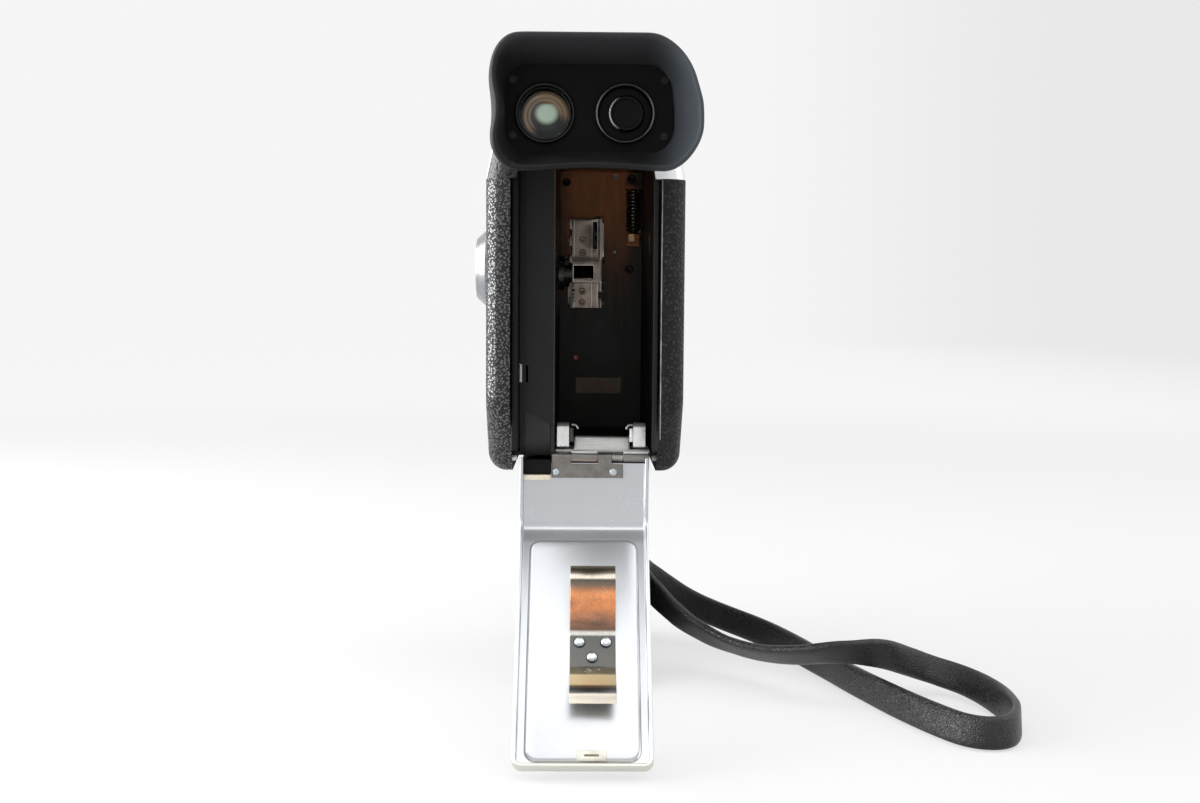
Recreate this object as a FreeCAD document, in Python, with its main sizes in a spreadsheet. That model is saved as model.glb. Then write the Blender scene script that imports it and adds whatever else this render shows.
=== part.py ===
"""An upright cartridge movie camera that stands on its grip with the film door hanging open.

Lengths are in millimetres. X is the right side as seen from behind, Y points to the lens and Z is up.
The origin is at the mouth of the tripod thread in the foot, on the surface that the camera stands on.
"""
import FreeCAD, Part
import os
import re
from math import pi

import Sketcher

# Driving sizes. Heights are measured from the foot, and rear places are distances behind the origin.
SIZES = {
    # body
    "body_width": 51.5,
    "core_width": 38.6,
    "body_rear": 93,
    "body_front": 35,
    "body_floor": 70,
    "band_drop": 10.2,
    "cap_room": 15,
    "slope_run": 14,
    "slope_rise": 18,
    "cover_wall": 1.8,
    "cover_rim": 3,
    "cover_round": 5,
    "corner_round": 10,
    "slope_round": 7,
    "roof_wall": 3,
    "plate_gauge": 1.6,
    "sheet_gauge": 1.2,
    # film chamber
    "chamber_left": 8.05,
    "chamber_width": 26.3,
    "chamber_rear": 79,
    "chamber_front": 2,
    "chamber_rise": 5,
    "chamber_height": 82,
    "chamber_wall": 1,
    "bulkhead": 2,
    "bottom_width": 34.6,
    "panel_width": 9.2,
    "panel_drop": 7,
    "panel_foot": 8,
    # gate
    "axis_rise": 50,
    "axis_side": 0.8,
    "aperture_width": 5.8,
    "aperture_height": 4.2,
    "gate_width": 11,
    "gate_above": 17.4,
    "gate_below": 11.4,
    "gate_thickness": 1.6,
    "claw_side": 3.4,
    "claw_slot_width": 1.4,
    "claw_slot_height": 8.4,
    "claw_slot_above": 12.4,
    "claw_tooth": 0.8,
    "rail_width": 1.9,
    # take-up
    "spindle_rear": 37,
    "spindle_drop": 1,
    "spindle_radius": 2,
    "spindle_head": 3.5,
    "gear_module": 0.8,
    "takeup_teeth": 35,
    "drive_teeth": 28,
    "gear_width": 2.4,
    "gear_plane": 14,
    "running_gap": 0.05,
    "clearance": 0.3,
    "screw_shank": 0.5,
    "screw_head": 1.15,
    "screw_cap": 0.45,
    "rivet_shank": 0.74,
    "rivet_head": 1.35,
    "rivet_rise": 0.9,
    "worm_radius": 2,
    "worm_gap": 0.15,
    "worm_teeth": 20,
    "pinion_teeth": 26,
    "pinion_width": 1.6,
    # motor and shutter
    "motor_radius": 7.8,
    "motor_length": 21,
    "motor_front": 31,
    "shaft_radius": 1,
    "shutter_radius": 18.6,
    "shutter_gauge": 0.8,
    # film speed feeler
    "feeler_side": 15.4,
    "feeler_above": 8.4,
    "feeler_rise": 3.8,
    "feeler_width": 3.8,
    "feeler_travel": 4,
    "feeler_spring_radius": 1.9,
    "feeler_drop": 5.5,
    # film label
    "label_left": 2.75,
    "label_width": 14.6,
    "label_above": 11,
    "label_height": 5,
    # hinge and door
    "hinge_behind": 1,
    "hinge_drop": 1,
    "pin_radius": 0.6,
    "knuckle_radius": 1.15,
    "knuckle_room": 2.1,
    "knuckle_gap": 0.1,
    "mid_knuckle": 7,
    "end_knuckle": 6.7,
    "coil_room": 3,
    "coil_wire": 0.24,
    "bracket_depth": 11,
    "block_side": 5.6,
    "block_depth": 4.6,
    "block_rise": 4.2,
    "clip_width": 3.3,
    "clip_rise": 6.6,
    "door_width": 34.4,
    "door_angle": 142,
    "latch_room": 2,
    "door_lean": 11.2,
    "door_bend": 14.5,
    "door_gauge": 1.2,
    "flange_height": 2.6,
    "leaf_gauge": 0.8,
    "leaf_width": 19,
    "leaf_length": 3,
    "leaf_above": 2,
    "leaf_notch": 1.3,
    "leaf_offset": 4.15,
    "panel_rise": 0.8,
    "panel_margin": 3.2,
    "spring_width": 11.6,
    "spring_gauge": 0.5,
    "spring_rise": 6.4,
    "spring_seat": 46.8,
    "spring_side": 2.4,
    "seat_length": 9.2,
    "panel_start": 19.4,
    "keeper_width": 6.4,
    # eyepiece
    "eye_length": 22,
    "eye_left": 20.9,
    "eye_width": 42.5,
    "eye_drop": 21.8,
    "eye_height": 22.1,
    "eye_plate": 2,
    "ocular_side": 9.9,
    "dial_side": 9.1,
    "eye_axis_rise": 9.6,
    "ocular_radius": 7.2,
    "ocular_glass": 5.7,
    "dial_radius": 7.1,
    "dial_shaft": 2,
    "plate_head": 0.95,
    "plate_cap": 0.35,
    "cup_reach": 15,
    "cup_sleeve": 7,
    "cup_wall": 1.8,
    "finder_radius": 4.9,
    "finder_drop": 8.1,
    "finder_length": 100,
    # lens
    "relay_radius": 6.4,
    "relay_wall": 1.2,
    "relay_rear": 10.5,
    "barrel_radius": 20.5,
    "barrel_wall": 3,
    "barrel_front": 78,
    "ring_wall": 4,
    "lever_radius": 1.6,
    "lever_rise": 9,
    "zoom_rear": 41,
    "zoom_width": 13,
    "ring_space": 2,
    "focus_front": 92,
    "hood_flare": 2,
    "glass_wall": 1.6,
    "glass_thickness": 6,
    # side dial and window
    "side_dial_radius": 10.7,
    "side_dial_rise": 4.4,
    "side_dial_rear": 58,
    "side_dial_drop": 0.4,
    "window_rear": 52,
    "window_above": 7,
    "window_length": 10,
    "window_depth": 7,
    "window_rise": 0.7,
    # grip
    "grip_width": 34,
    "grip_rear": 27,
    "grip_front": 27,
    "grip_wall": 1.8,
    "grip_round": 8,
    "foot_width": 38,
    "foot_rear": 40,
    "foot_front": 34,
    "foot_height": 8,
    "foot_round": 9,
    "thread_radius": 3.175,
    "thread_depth": 8,
    "bush_radius": 6,
    "cell_radius": 7.1,
    "cell_length": 50.5,
    "hatch_width": 22,
    "hatch_floor": 13,
    "hatch_room": 7,
    "hatch_gauge": 1.8,
    "hatch_pin": 0.6,
    "trigger_drop": 17,
    "trigger_height": 14,
    "trigger_width": 9,
    "trigger_travel": 3,
    # strap
    "strap_width": 8.6,
    "strap_gauge": 2.8,
    "clamp_side": 4,
    "clamp_height": 28,
    "clamp_gauge": 3.6,
    "clamp_length": 21.2,
    "clamp_width": 10,
    "stud_radius": 2,
}

# Places that follow from the sizes.
PLACES = {
    "chamber_floor": "body_floor + chamber_rise",
    "body_roof": "chamber_roof + cap_room",
    "band_level": "chamber_roof - band_drop",
    "panel_top": "chamber_roof - panel_drop",
    "panel_bend": "chamber_floor + panel_foot",
    "axis_height": "chamber_floor + axis_rise",
    "label_floor": "chamber_floor + label_above",
    "hinge_rear": "chamber_rear + hinge_behind",
    "hinge_height": "chamber_floor - hinge_drop",
    "eye_rear": "body_rear + eye_length",
    "eye_floor": "body_roof - eye_drop",
    "eye_axis": "eye_floor + eye_axis_rise",
    "cup_rim": "eye_rear + cup_reach",
    "cup_front": "eye_rear - cup_sleeve",
    "side_dial_height": "axis_height - side_dial_drop",
    "window_height": "axis_height + window_above",
    "hatch_height": "body_floor - hatch_floor - hatch_room",
    "trigger_floor": "body_floor - trigger_drop",
    "half_width": "body_width / 2",
    "half_core": "core_width / 2",
    "cover_depth": "half_width - half_core",
    "slope_foot": "body_rear - slope_run",
    "slope_top": "body_floor + slope_rise",
    "chamber_right": "chamber_width - chamber_left",
    "chamber_roof": "chamber_floor + chamber_height",
    "chamber_middle": "(chamber_right - chamber_left) / 2",
    "case_left": "chamber_left + chamber_wall",
    "case_right": "chamber_right + chamber_wall",
    "bulkhead_front": "chamber_front + bulkhead",
    "gate_face": "chamber_front - gate_thickness",
    "motor_axis": "worm_height",
    "spindle_height": "axis_height - spindle_drop",
    "feeler_height": "axis_height + feeler_above",
    "motor_rear": "motor_front - motor_length",
    "takeup_pitch": "gear_module * takeup_teeth / 2",
    "drive_pitch": "gear_module * drive_teeth / 2",
    "drive_rear": "spindle_rear - takeup_pitch - drive_pitch",
    "worm_height": "spindle_height - drive_pitch - gear_module * 0.62 - worm_radius - worm_gap",
    "pinion_pitch": "gear_plane * pinion_teeth / (pinion_teeth + worm_teeth)",
    "worm_pitch": "gear_plane * worm_teeth / (pinion_teeth + worm_teeth)",
    "pinion_rear": "bulkhead_front + 0.4",
    "door_reach": "chamber_roof - hinge_height - latch_room",
    "latch_floor": "hinge_height + door_reach + 1",
    "door_sweep": "sqrt(door_reach ^ 2 + (door_lean + door_gauge) ^ 2) + 0.6",
    "finder_axis": "body_roof - finder_drop",
    "screw_hole": "screw_shank + running_gap",
    "rivet_hole": "rivet_shank + running_gap",
    "gear_left": "gear_plane + gear_width / 2",
    "hinge_left": "chamber_left - running_gap",
    "hinge_length": "chamber_width - clearance",
    "block_length": "hinge_length - 2 * block_side",
    "leaf_left": "coil_middle - leaf_offset - leaf_width / 2",
    "leaf_right": "leaf_left + leaf_width",
    "mid_left": "coil_middle - leaf_offset - mid_knuckle / 2 - 0.8",
    "mid_right": "mid_left + mid_knuckle",
    "coil_left": "leaf_right - coil_room",
    "ring_radius": "barrel_radius + ring_wall",
    "flange_radius": "ring_radius + 0.5",
    "hood_radius": "ring_radius + hood_flare",
    "glass_radius": "barrel_radius - glass_wall",
    "focus_rear": "zoom_rear + zoom_width + ring_space",
    "door_half": "door_width / 2",
    "door_left": "-door_half",
    "door_face": "-door_lean",
    "panel_face": "door_face + panel_rise + running_gap",
    "notch_half": "door_half + 0.6",
    "eye_right": "eye_width - eye_left",
    "eye_roof": "eye_floor + eye_height",
    "plate_rear": "eye_rear + eye_plate",
    "ocular_bore": "ocular_glass + 0.6",
    "dial_bore": "dial_shaft + running_gap",
    "coil_middle": "hinge_length / 2 - hinge_left",
    "grip_half": "grip_width / 2",
    "grip_roof": "body_floor",
    "trigger_roof": "trigger_floor + trigger_height",
    "feeler_seat": "chamber_roof - feeler_drop",
    "feeler_spring_length": "feeler_seat - feeler_height - feeler_rise - clearance",
}

# Heights of the gate plate's screws above the lens axis, and how far they stand to the left.
GATE_SCREWS = ["13.5", "5.4", "-5.4", "-8.9"]
GATE_SCREW_SIDE = "-axis_side"

# The other screws of the chamber's front wall, as X and Z.
WALL_SCREWS = [
    ("-5.8", "chamber_roof - 3.2"),
    ("9.8", "chamber_roof - 1.6"),
    ("15.2", "axis_height + 1"),
    ("9.9", "axis_height + 6.9"),
    ("-2.8", "chamber_floor + 22.8"),
]

# The four screws of the eyepiece plate, as X and Z.
PLATE_SCREWS = [
    ("-eye_left + 3.4", "eye_floor + 4.4"),
    ("-eye_left + 3.4", "eye_roof - 4.6"),
    ("eye_right - 3.2", "eye_floor + 4.4"),
    ("eye_right - 3.2", "eye_roof - 4.6"),
]

# The three rivets of the pressure spring, as X and the height on the closed door.
SPRING_RIVETS = [
    ("spring_side - 3.35", "spring_seat + 2.3"),
    ("spring_side + 3.35", "spring_seat + 2.3"),
    ("spring_side - 0.2", "spring_seat + 6.4"),
]

# The strap's route, from the rear of the clamp round its loop on the floor to the clamp's front.
STRAP_ROUTE = [
    (18.9, -1.38, 27.9),
    (20.4, -8.5, 25.6),
    (25.8, -13.0, 20.0),
    (33.5, -18.0, 14.2),
    (43.5, -25.5, 10.4),
    (53.5, -36.5, 9.8),
    (62.5, -49.0, 12.4),
    (72.5, -57.0, 15.5),
    (85.5, -56.5, 15.5),
    (95.5, -47.5, 10.6),
    (104.5, -43.5, 6.8),
    (112.6, -49.0, 5.2),
    (117.0, -61.0, 4.5),
    (117.8, -78.0, 4.5),
    (115.0, -91.0, 4.5),
    (109.0, -98.0, 4.5),
    (100.6, -96.4, 4.5),
    (94.2, -84.5, 4.5),
    (87.5, -68.5, 4.5),
    (80.0, -46.5, 4.5),
    (73.5, -25.5, 4.5),
    (66.5, -8.0, 5.6),
    (58.0, 4.5, 7.4),
    (47.0, 13.5, 9.8),
    (36.0, 18.5, 13.6),
    (27.0, 19.8, 19.4),
    (20.6, 16.6, 24.6),
    (18.9, 9.4, 28.4),
]

PLANES = {"x": "YZ_Plane", "y": "XZ_Plane", "z": "XY_Plane"}
VECTOR = FreeCAD.Vector

document = FreeCAD.newDocument("movie_camera")
sheet = document.addObject("Spreadsheet::Sheet", "dims")
for row, (alias, size) in enumerate(SIZES.items(), start=1):
    sheet.set(f"A{row}", str(size))
    sheet.setAlias(f"A{row}", alias)
document.recompute()

parts = []


def formula(text):
    """The text as an expression on the sheet, with the places written out."""

    def known(word):
        name = word.group()
        if name in PLACES:
            return f"({formula(PLACES[name])})"
        return f"dims.{name}" if name in SIZES else name

    return re.sub(r"[a-z_]+", known, str(text))


def value(text):
    return float(sheet.evalExpression(formula(text)))


def keep(piece):
    """Lists a finished sub-part for its own file."""
    parts.append(piece)
    return piece


def new_body(label, x="0", y="0", z="0", turned="0"):
    """A body whose own origin is at x, y, z, turned about its X axis."""
    body = document.addObject("PartDesign::Body", label)
    body.Label = label
    for axis, place in zip("xyz", (x, y, z)):
        body.setExpression(f"Placement.Base.{axis}", formula(place))
        body.setExpression(f"Placement.Rotation.Axis.{axis}", "1" if axis == "x" else "0")
    body.setExpression("Placement.Rotation.Angle", formula(turned))
    return body


def sketch_on(body, axis, level):
    """A sketch across the given axis of the body. Across Y its normal points backwards."""
    sketch = body.newObject("Sketcher::SketchObject", body.Label + "_sketch")
    plane = next(f for f in body.Origin.OriginFeatures if f.Role == PLANES[axis])
    sketch.AttachmentSupport = (plane, [""])
    sketch.MapMode = "FlatFace"
    sign = "-" if axis == "y" else ""
    sketch.setExpression("AttachmentOffset.Base.z", formula(f"{sign}({level})"))
    return sketch


def bind(sketch, kind, geometry, size):
    number = sketch.addConstraint(Sketcher.Constraint(kind, *geometry, value(size)))
    sketch.setExpression(f"Constraints[{number}]", formula(size))


def polygon(sketch, *points):
    """Straight sides through the points, each held by its two distances from the origin."""
    first = sketch.GeometryCount
    spots = [VECTOR(value(a), value(b), 0) for a, b in points]
    count = len(points)
    for i in range(count):
        sketch.addGeometry(Part.LineSegment(spots[i], spots[(i + 1) % count]), False)
    for i in range(count):
        following = first + (i + 1) % count
        sketch.addConstraint(Sketcher.Constraint("Coincident", first + i, 2, following, 1))
    for i, (a, b) in enumerate(points):
        bind(sketch, "DistanceX", (-1, 1, first + i, 1), a)
        bind(sketch, "DistanceY", (-1, 1, first + i, 1), b)


def circle(sketch, a, b, radius):
    number = sketch.GeometryCount
    centre = VECTOR(value(a), value(b), 0)
    sketch.addGeometry(Part.Circle(centre, VECTOR(0, 0, 1), value(radius)), False)
    bind(sketch, "DistanceX", (-1, 1, number, 3), a)
    bind(sketch, "DistanceY", (-1, 1, number, 3), b)
    bind(sketch, "Radius", (number,), radius)


def rounded(sketch, left, right, floor, roof, radius):
    """A rectangle with four equal round corners."""
    first = sketch.GeometryCount
    low_a, high_a, low_b, high_b, r = (value(v) for v in (left, right, floor, roof, radius))
    corners = [
        (high_a - r, low_b + r),
        (high_a - r, high_b - r),
        (low_a + r, high_b - r),
        (low_a + r, low_b + r),
    ]
    sides = [
        ((low_a + r, low_b), (high_a - r, low_b)),
        ((high_a, low_b + r), (high_a, high_b - r)),
        ((high_a - r, high_b), (low_a + r, high_b)),
        ((low_a, high_b - r), (low_a, low_b + r)),
    ]
    for quarter, ((start, end), (a, b)) in enumerate(zip(sides, corners)):
        sketch.addGeometry(Part.LineSegment(VECTOR(*start, 0), VECTOR(*end, 0)), False)
        ring = Part.Circle(VECTOR(a, b, 0), VECTOR(0, 0, 1), r)
        arc = Part.ArcOfCircle(ring, (quarter - 1) * pi / 2, quarter * pi / 2)
        sketch.addGeometry(arc, False)
    for i in range(0, 8, 2):
        sketch.addConstraint(Sketcher.Constraint("Tangent", first + i, 2, first + i + 1, 1))
        following = first + (i + 2) % 8
        sketch.addConstraint(Sketcher.Constraint("Tangent", first + i + 1, 2, following, 1))
        level = "Horizontal" if i % 4 == 0 else "Vertical"
        sketch.addConstraint(Sketcher.Constraint(level, first + i))
    for i in (3, 5, 7):
        sketch.addConstraint(Sketcher.Constraint("Equal", first + 1, first + i))
    bind(sketch, "Radius", (first + 1,), radius)
    bind(sketch, "DistanceY", (-1, 1, first, 1), floor)
    bind(sketch, "DistanceX", (-1, 1, first + 2, 1), right)
    bind(sketch, "DistanceY", (-1, 1, first + 4, 1), roof)
    bind(sketch, "DistanceX", (-1, 1, first + 6, 1), left)


def rectangle(sketch, left, right, floor, roof):
    polygon(sketch, (left, floor), (right, floor), (right, roof), (left, roof))


def drawn(body, axis, level, outlines):
    sketch = sketch_on(body, axis, level)
    for draw, *sizes in outlines:
        draw(sketch, *sizes)
    return sketch


def pad(body, axis, start, depth, *outlines):
    """Adds the outlines from start, as far as depth along the positive axis."""
    level = f"{start} + ({depth})" if axis == "y" else start
    sketch = drawn(body, axis, level, outlines)
    feature = body.newObject("PartDesign::Pad", body.Label + "_pad")
    feature.Profile = sketch
    feature.setExpression("Length", formula(depth))
    return feature


def pocket(body, axis, start, depth, *outlines):
    """Cuts the outlines from start, as far as depth along the positive axis."""
    document.recompute()
    before = body.Shape.Volume
    level = start if axis == "y" else f"{start} + ({depth})"
    sketch = drawn(body, axis, level, outlines)
    feature = body.newObject("PartDesign::Pocket", body.Label + "_pocket")
    feature.Profile = sketch
    feature.setExpression("Length", formula(depth))
    document.recompute()
    if not body.Shape.Volume < before:
        raise ValueError(f"{body.Label}: a pocket cuts nothing")
    return feature


def turned(body, along, *outlines):
    """Revolves outlines drawn as (place along the axis, radius). The axis is X, Y or Z."""
    plane = "y" if along in "xz" else "x"
    sketch = drawn(body, plane, "0", outlines)
    feature = body.newObject("PartDesign::Revolution", body.Label + "_turned")
    feature.Profile = sketch
    feature.ReferenceAxis = (sketch, ["H_Axis"])
    feature.Angle = 360
    return feature


def rounded_edges(body, radius, chosen, chamfered=False):
    """Rounds or chamfers the edges that the test picks."""
    document.recompute()
    tip = body.Tip
    edges = [f"Edge{i}" for i, e in enumerate(tip.Shape.Edges, start=1) if chosen(e)]
    kind = "Chamfer" if chamfered else "Fillet"
    feature = body.newObject("PartDesign::" + kind, body.Label + "_" + kind.lower())
    feature.Base = (tip, edges)
    feature.setExpression("Size" if chamfered else "Radius", formula(radius))
    return feature


def along(edge, axis):
    """True for a straight edge that runs along the axis."""
    if edge.Curve.TypeId != "Part::GeomLine":
        return False
    direction = edge.Vertexes[-1].Point - edge.Vertexes[0].Point
    return abs(getattr(direction, axis)) > 0.999 * direction.Length


def lies_at(edge, axis, place):
    """True where the whole edge is at one place on the axis."""
    box = edge.BoundBox
    low, high = getattr(box, axis.upper() + "Min"), getattr(box, axis.upper() + "Max")
    return abs(low - place) < 0.01 and abs(high - place) < 0.01


def solid(kind, name, place=("0", "0", "0"), facing="z", **sizes):
    """A primitive whose sizes and place follow the sheet. Facing turns its axis from Z."""
    piece = document.addObject("Part::" + kind, name)
    for size, text in sizes.items():
        piece.setExpression(size, formula(text))
    turns = {"z": (0, 0, 1, 0), "y": (1, 0, 0, -90), "x": (0, 1, 0, 90)}
    *axis, angle = turns[facing]
    for letter, part in zip("xyz", axis):
        piece.setExpression(f"Placement.Rotation.Axis.{letter}", str(part))
    piece.setExpression("Placement.Rotation.Angle", str(angle))
    for letter, text in zip("xyz", place):
        piece.setExpression(f"Placement.Base.{letter}", formula(text))
    return piece


def block(name, low, size):
    length, width, height = size
    return solid("Box", name, low, Length=length, Width=width, Height=height)


def rod(name, place, radius, length, facing="z"):
    return solid("Cylinder", name, place, facing, Radius=radius, Height=length)


def joined(label, pieces, kind="MultiFuse"):
    """One object of several pieces: fused, common to all, or side by side as a group."""
    whole = document.addObject("Part::" + kind, label)
    whole.Label = label
    if kind == "Compound":
        whole.Links = pieces
    else:
        whole.Shapes = pieces
    return whole


def screws(label, places, head, shank, facing):
    """A group of screws, each a flat head with a driver slot on a round shank."""
    group = []
    head_radius, head_depth = head
    shank_radius, shank_depth = shank
    for i, place in enumerate(places):
        name = f"{label}_{i}"
        cap = rod(name + "_head", place, head_radius, head_depth, facing)
        low = dict(zip("xyz", place))
        low[facing] = f"{low[facing]} + ({head_depth})"
        stem = rod(name + "_shank", tuple(low.values()), shank_radius, shank_depth, facing)
        group.append(joined(name, [cap, stem]))
    return keep(joined(label, group, "Compound"))


def lens(label, x, y, z, radius, thickness):
    """A glass with two ball faces about one rim, its axis along Y and its middle at y."""
    ball = f"(({radius}) ^ 2 + (({thickness}) / 2) ^ 2) / ({thickness})"
    offset = f"{ball} - ({thickness}) / 2"
    front = solid("Sphere", label + "_front", (x, f"{y} - ({offset})", z), Radius=ball)
    rear = solid("Sphere", label + "_rear", (x, f"{y} + ({offset})", z), Radius=ball)
    reach = f"({thickness}) / 2"
    edge = rod(label + "_edge", (x, f"{y} - {reach}", z), f"{radius} - 0.3", thickness, "y")
    return keep(joined(label, [front, rear, edge], "MultiCommon"))


def window_outline(gap):
    """The window's opening in the right cover, or the pane that leaves a gap all round in it."""
    run, rise = f"(window_length / 2 - {gap})", f"(window_depth / 2 - {gap})"
    return (rounded, f"-window_rear - {run}", f"-window_rear + {run}",
            f"window_height - {rise}", f"window_height + {rise}", f"1.5 - {gap}")


def side_cover(label, side):
    """A deep shell for one side of the body, cut back below the film door's bend."""
    body = new_body(label)
    start = "half_core" if side > 0 else "-half_width"
    outline = [
        ("-body_rear", "band_level"),
        ("-body_rear", "slope_top"),
        ("-slope_foot", "body_floor"),
        ("body_front", "body_floor"),
        ("body_front", "band_level"),
    ]
    pad(body, "x", start, "cover_depth", (polygon, *outline))
    top, front = value("band_level"), value("body_front")
    rounded_edges(body, "corner_round",
                  lambda e: along(e, "x") and lies_at(e, "y", front) and not lies_at(e, "z", top))
    rounded_edges(body, "slope_round",
                  lambda e: along(e, "x") and not lies_at(e, "y", front)
                  and not lies_at(e, "z", top) and e.BoundBox.YMax < -value("slope_foot") + 4
                  and abs(e.BoundBox.YMax - e.BoundBox.YMin) < 0.01)
    face = side * value("half_width")
    rounded_edges(body, "cover_round", lambda e: lies_at(e, "x", face) and not lies_at(e, "z", top))
    inset = "cover_rim"
    hollow = [
        (f"-body_rear + {inset}", f"band_level - {inset}"),
        (f"-body_rear + {inset}", f"slope_top + {inset} * 1.4"),
        (f"-slope_foot + {inset}", f"body_floor + {inset} * 1.4"),
        (f"body_front - {inset} - corner_round * 0.7", f"body_floor + {inset} * 1.4"),
        (f"body_front - {inset}", f"body_floor + {inset} + corner_round * 0.7"),
        (f"body_front - {inset}", f"band_level - {inset}"),
    ]
    start = "half_core - 1" if side > 0 else "-half_width + cover_wall"
    pocket(body, "x", start, "cover_depth - cover_wall + 1", (polygon, *hollow))
    if side < 0:
        pocket(body, "x", "-half_width - 1", "cover_depth",
               (circle, "-side_dial_rear", "side_dial_height", "spindle_radius + running_gap"))
    else:
        pocket(body, "x", "half_core", "cover_depth + 1",
               window_outline("0"))
    return keep(body)


def top_cover():
    """The bright cap over both covers, notched at the rear for the tip of the door."""
    body = new_body("top_cover")
    rise = "body_roof - band_level"
    pad(body, "z", "band_level", rise,
        (rectangle, "-half_width", "half_width", "-body_rear", "body_front"))
    rounded_edges(body, "cover_round", lambda e: along(e, "z"))
    roof = value("body_roof")
    rounded_edges(body, "cover_round + 0.5", lambda e: lies_at(e, "z", roof))
    pocket(body, "z", "band_level - 1", f"{rise} - roof_wall + 1",
           (rounded, "-half_width + cover_wall", "half_width - cover_wall",
            "-body_rear + cover_wall", "body_front - cover_wall", "cover_round - 1"))
    pocket(body, "y", "-body_rear - 1", "cover_wall + 1.2",
           (rectangle, "-notch_half", "notch_half", "band_level - 1",
            "latch_floor"))
    pocket(body, "y", "-body_rear - 1", "cover_wall + 1.2",
           (circle, "-ocular_side", "finder_axis", "finder_radius + 0.2"))
    return keep(body)


def front_plate():
    body = new_body("front_plate")
    pad(body, "y", "body_front - plate_gauge", "plate_gauge",
        (rectangle, "-half_core + 0.1", "half_core - 0.1", "body_floor + plate_gauge",
         "band_level"),
        (circle, "-axis_side", "axis_height", "relay_radius + 0.1"))
    return keep(body)


def bottom_plate():
    body = new_body("bottom_plate")
    pad(body, "z", "body_floor", "plate_gauge",
        (rectangle, "-bottom_width / 2", "bottom_width / 2", "-slope_foot + 1", "body_front"))
    return keep(body)


def film_chamber():
    """The casting: a box open to the rear, on a bulkhead that spans the body."""
    body = new_body("film_chamber")
    case = (rectangle, "-case_left", "case_right", "chamber_floor - chamber_wall",
            "chamber_roof + chamber_wall")
    pad(body, "y", "-chamber_rear", "chamber_rear + chamber_front", case)
    pad(body, "y", "chamber_front", "bulkhead",
        (rectangle, "-half_core + 0.05", "half_core - 0.05", "body_floor + plate_gauge",
         "chamber_roof + chamber_wall"))
    pocket(body, "y", "-chamber_rear - 1", "chamber_rear + chamber_front + 1",
           (rectangle, "-chamber_left", "chamber_right", "chamber_floor", "chamber_roof"))
    pocket(body, "y", "chamber_front - 0.5", "bulkhead + 1",
           (rectangle, "-axis_side - aperture_width / 2 - 0.6", "-axis_side + aperture_width / 2 + 0.6",
            "axis_height - aperture_height / 2 - 0.6", "axis_height + aperture_height / 2 + 0.6"),
           (rectangle, "claw_side - claw_slot_width", "claw_side + claw_slot_width",
            "axis_height + claw_slot_above - claw_slot_height / 2 - 0.5",
            "axis_height + claw_slot_above + claw_slot_height / 2 + 0.5"),
           (circle, "-gear_plane", "worm_height", "shaft_radius + running_gap"),
           *[(circle, GATE_SCREW_SIDE, f"axis_height + {rise}", "screw_hole") for rise in GATE_SCREWS],
           *[(circle, x, z, "screw_hole") for x, z in WALL_SCREWS])
    pocket(body, "y", "-chamber_rear - 1", "chamber_rear - hinge_rear + 1.1 + knuckle_room",
           (rectangle, "-case_left - 1", "case_right + 1",
            "chamber_floor - chamber_wall - 0.1", "chamber_floor"))
    pocket(body, "x", "-case_left - 1", "chamber_wall + 2",
           (circle, "-spindle_rear", "spindle_height", "spindle_radius + running_gap"))
    pocket(body, "x", "chamber_right - 1", "chamber_wall + 2",
           window_outline("0"))
    pad(body, "z", "chamber_floor - chamber_wall", "chamber_wall",
        (rectangle, "-half_core + 0.05", "-chamber_left", "-chamber_rear + 3.5", "chamber_front"))
    pad(body, "x", "-gear_left - 0.6", "gear_left + 0.6 - case_left",
        (circle, "-drive_rear", "spindle_height", "shaft_radius"))
    pad(body, "y", "-body_rear + cover_wall + 0.3", "body_rear - cover_wall - 0.3 - chamber_rear",
        (rectangle, "-notch_half + 0.3", "notch_half - 0.3", "chamber_roof",
         "chamber_roof + chamber_wall"))
    pad(body, "y", "chamber_front - 5", "5",
        (rectangle, "feeler_side - 2.6", "chamber_right", "feeler_seat", "feeler_seat + 1.2"))
    return keep(body)


def rear_panel():
    """The blackened sheet beside the chamber mouth, bent forward at its foot and left edge."""
    body = new_body("rear_panel")
    face, back = "-chamber_rear - sheet_gauge", "-chamber_rear"
    side = "-chamber_left - panel_width"
    pad(body, "x", side, "panel_width", (rectangle, face, back, "panel_bend", "panel_top"))
    pad(body, "x", side, "panel_width - chamber_wall - 0.1",
        (polygon, (back, "panel_bend + 0.4"), (face, "panel_bend"),
         ("-chamber_rear + 1.6", "chamber_floor - 0.6"), ("-chamber_rear + 2.8", "chamber_floor")))
    pad(body, "x", side, "sheet_gauge",
        (rectangle, back, "-chamber_rear + 22", "panel_bend + 2", "panel_top"))
    pocket(body, "y", "-chamber_rear - sheet_gauge - 1", "sheet_gauge + 2",
           (rectangle, f"{side} + 1.6", f"{side} + 2.2", "94", "98.5"))
    return keep(body)


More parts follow.
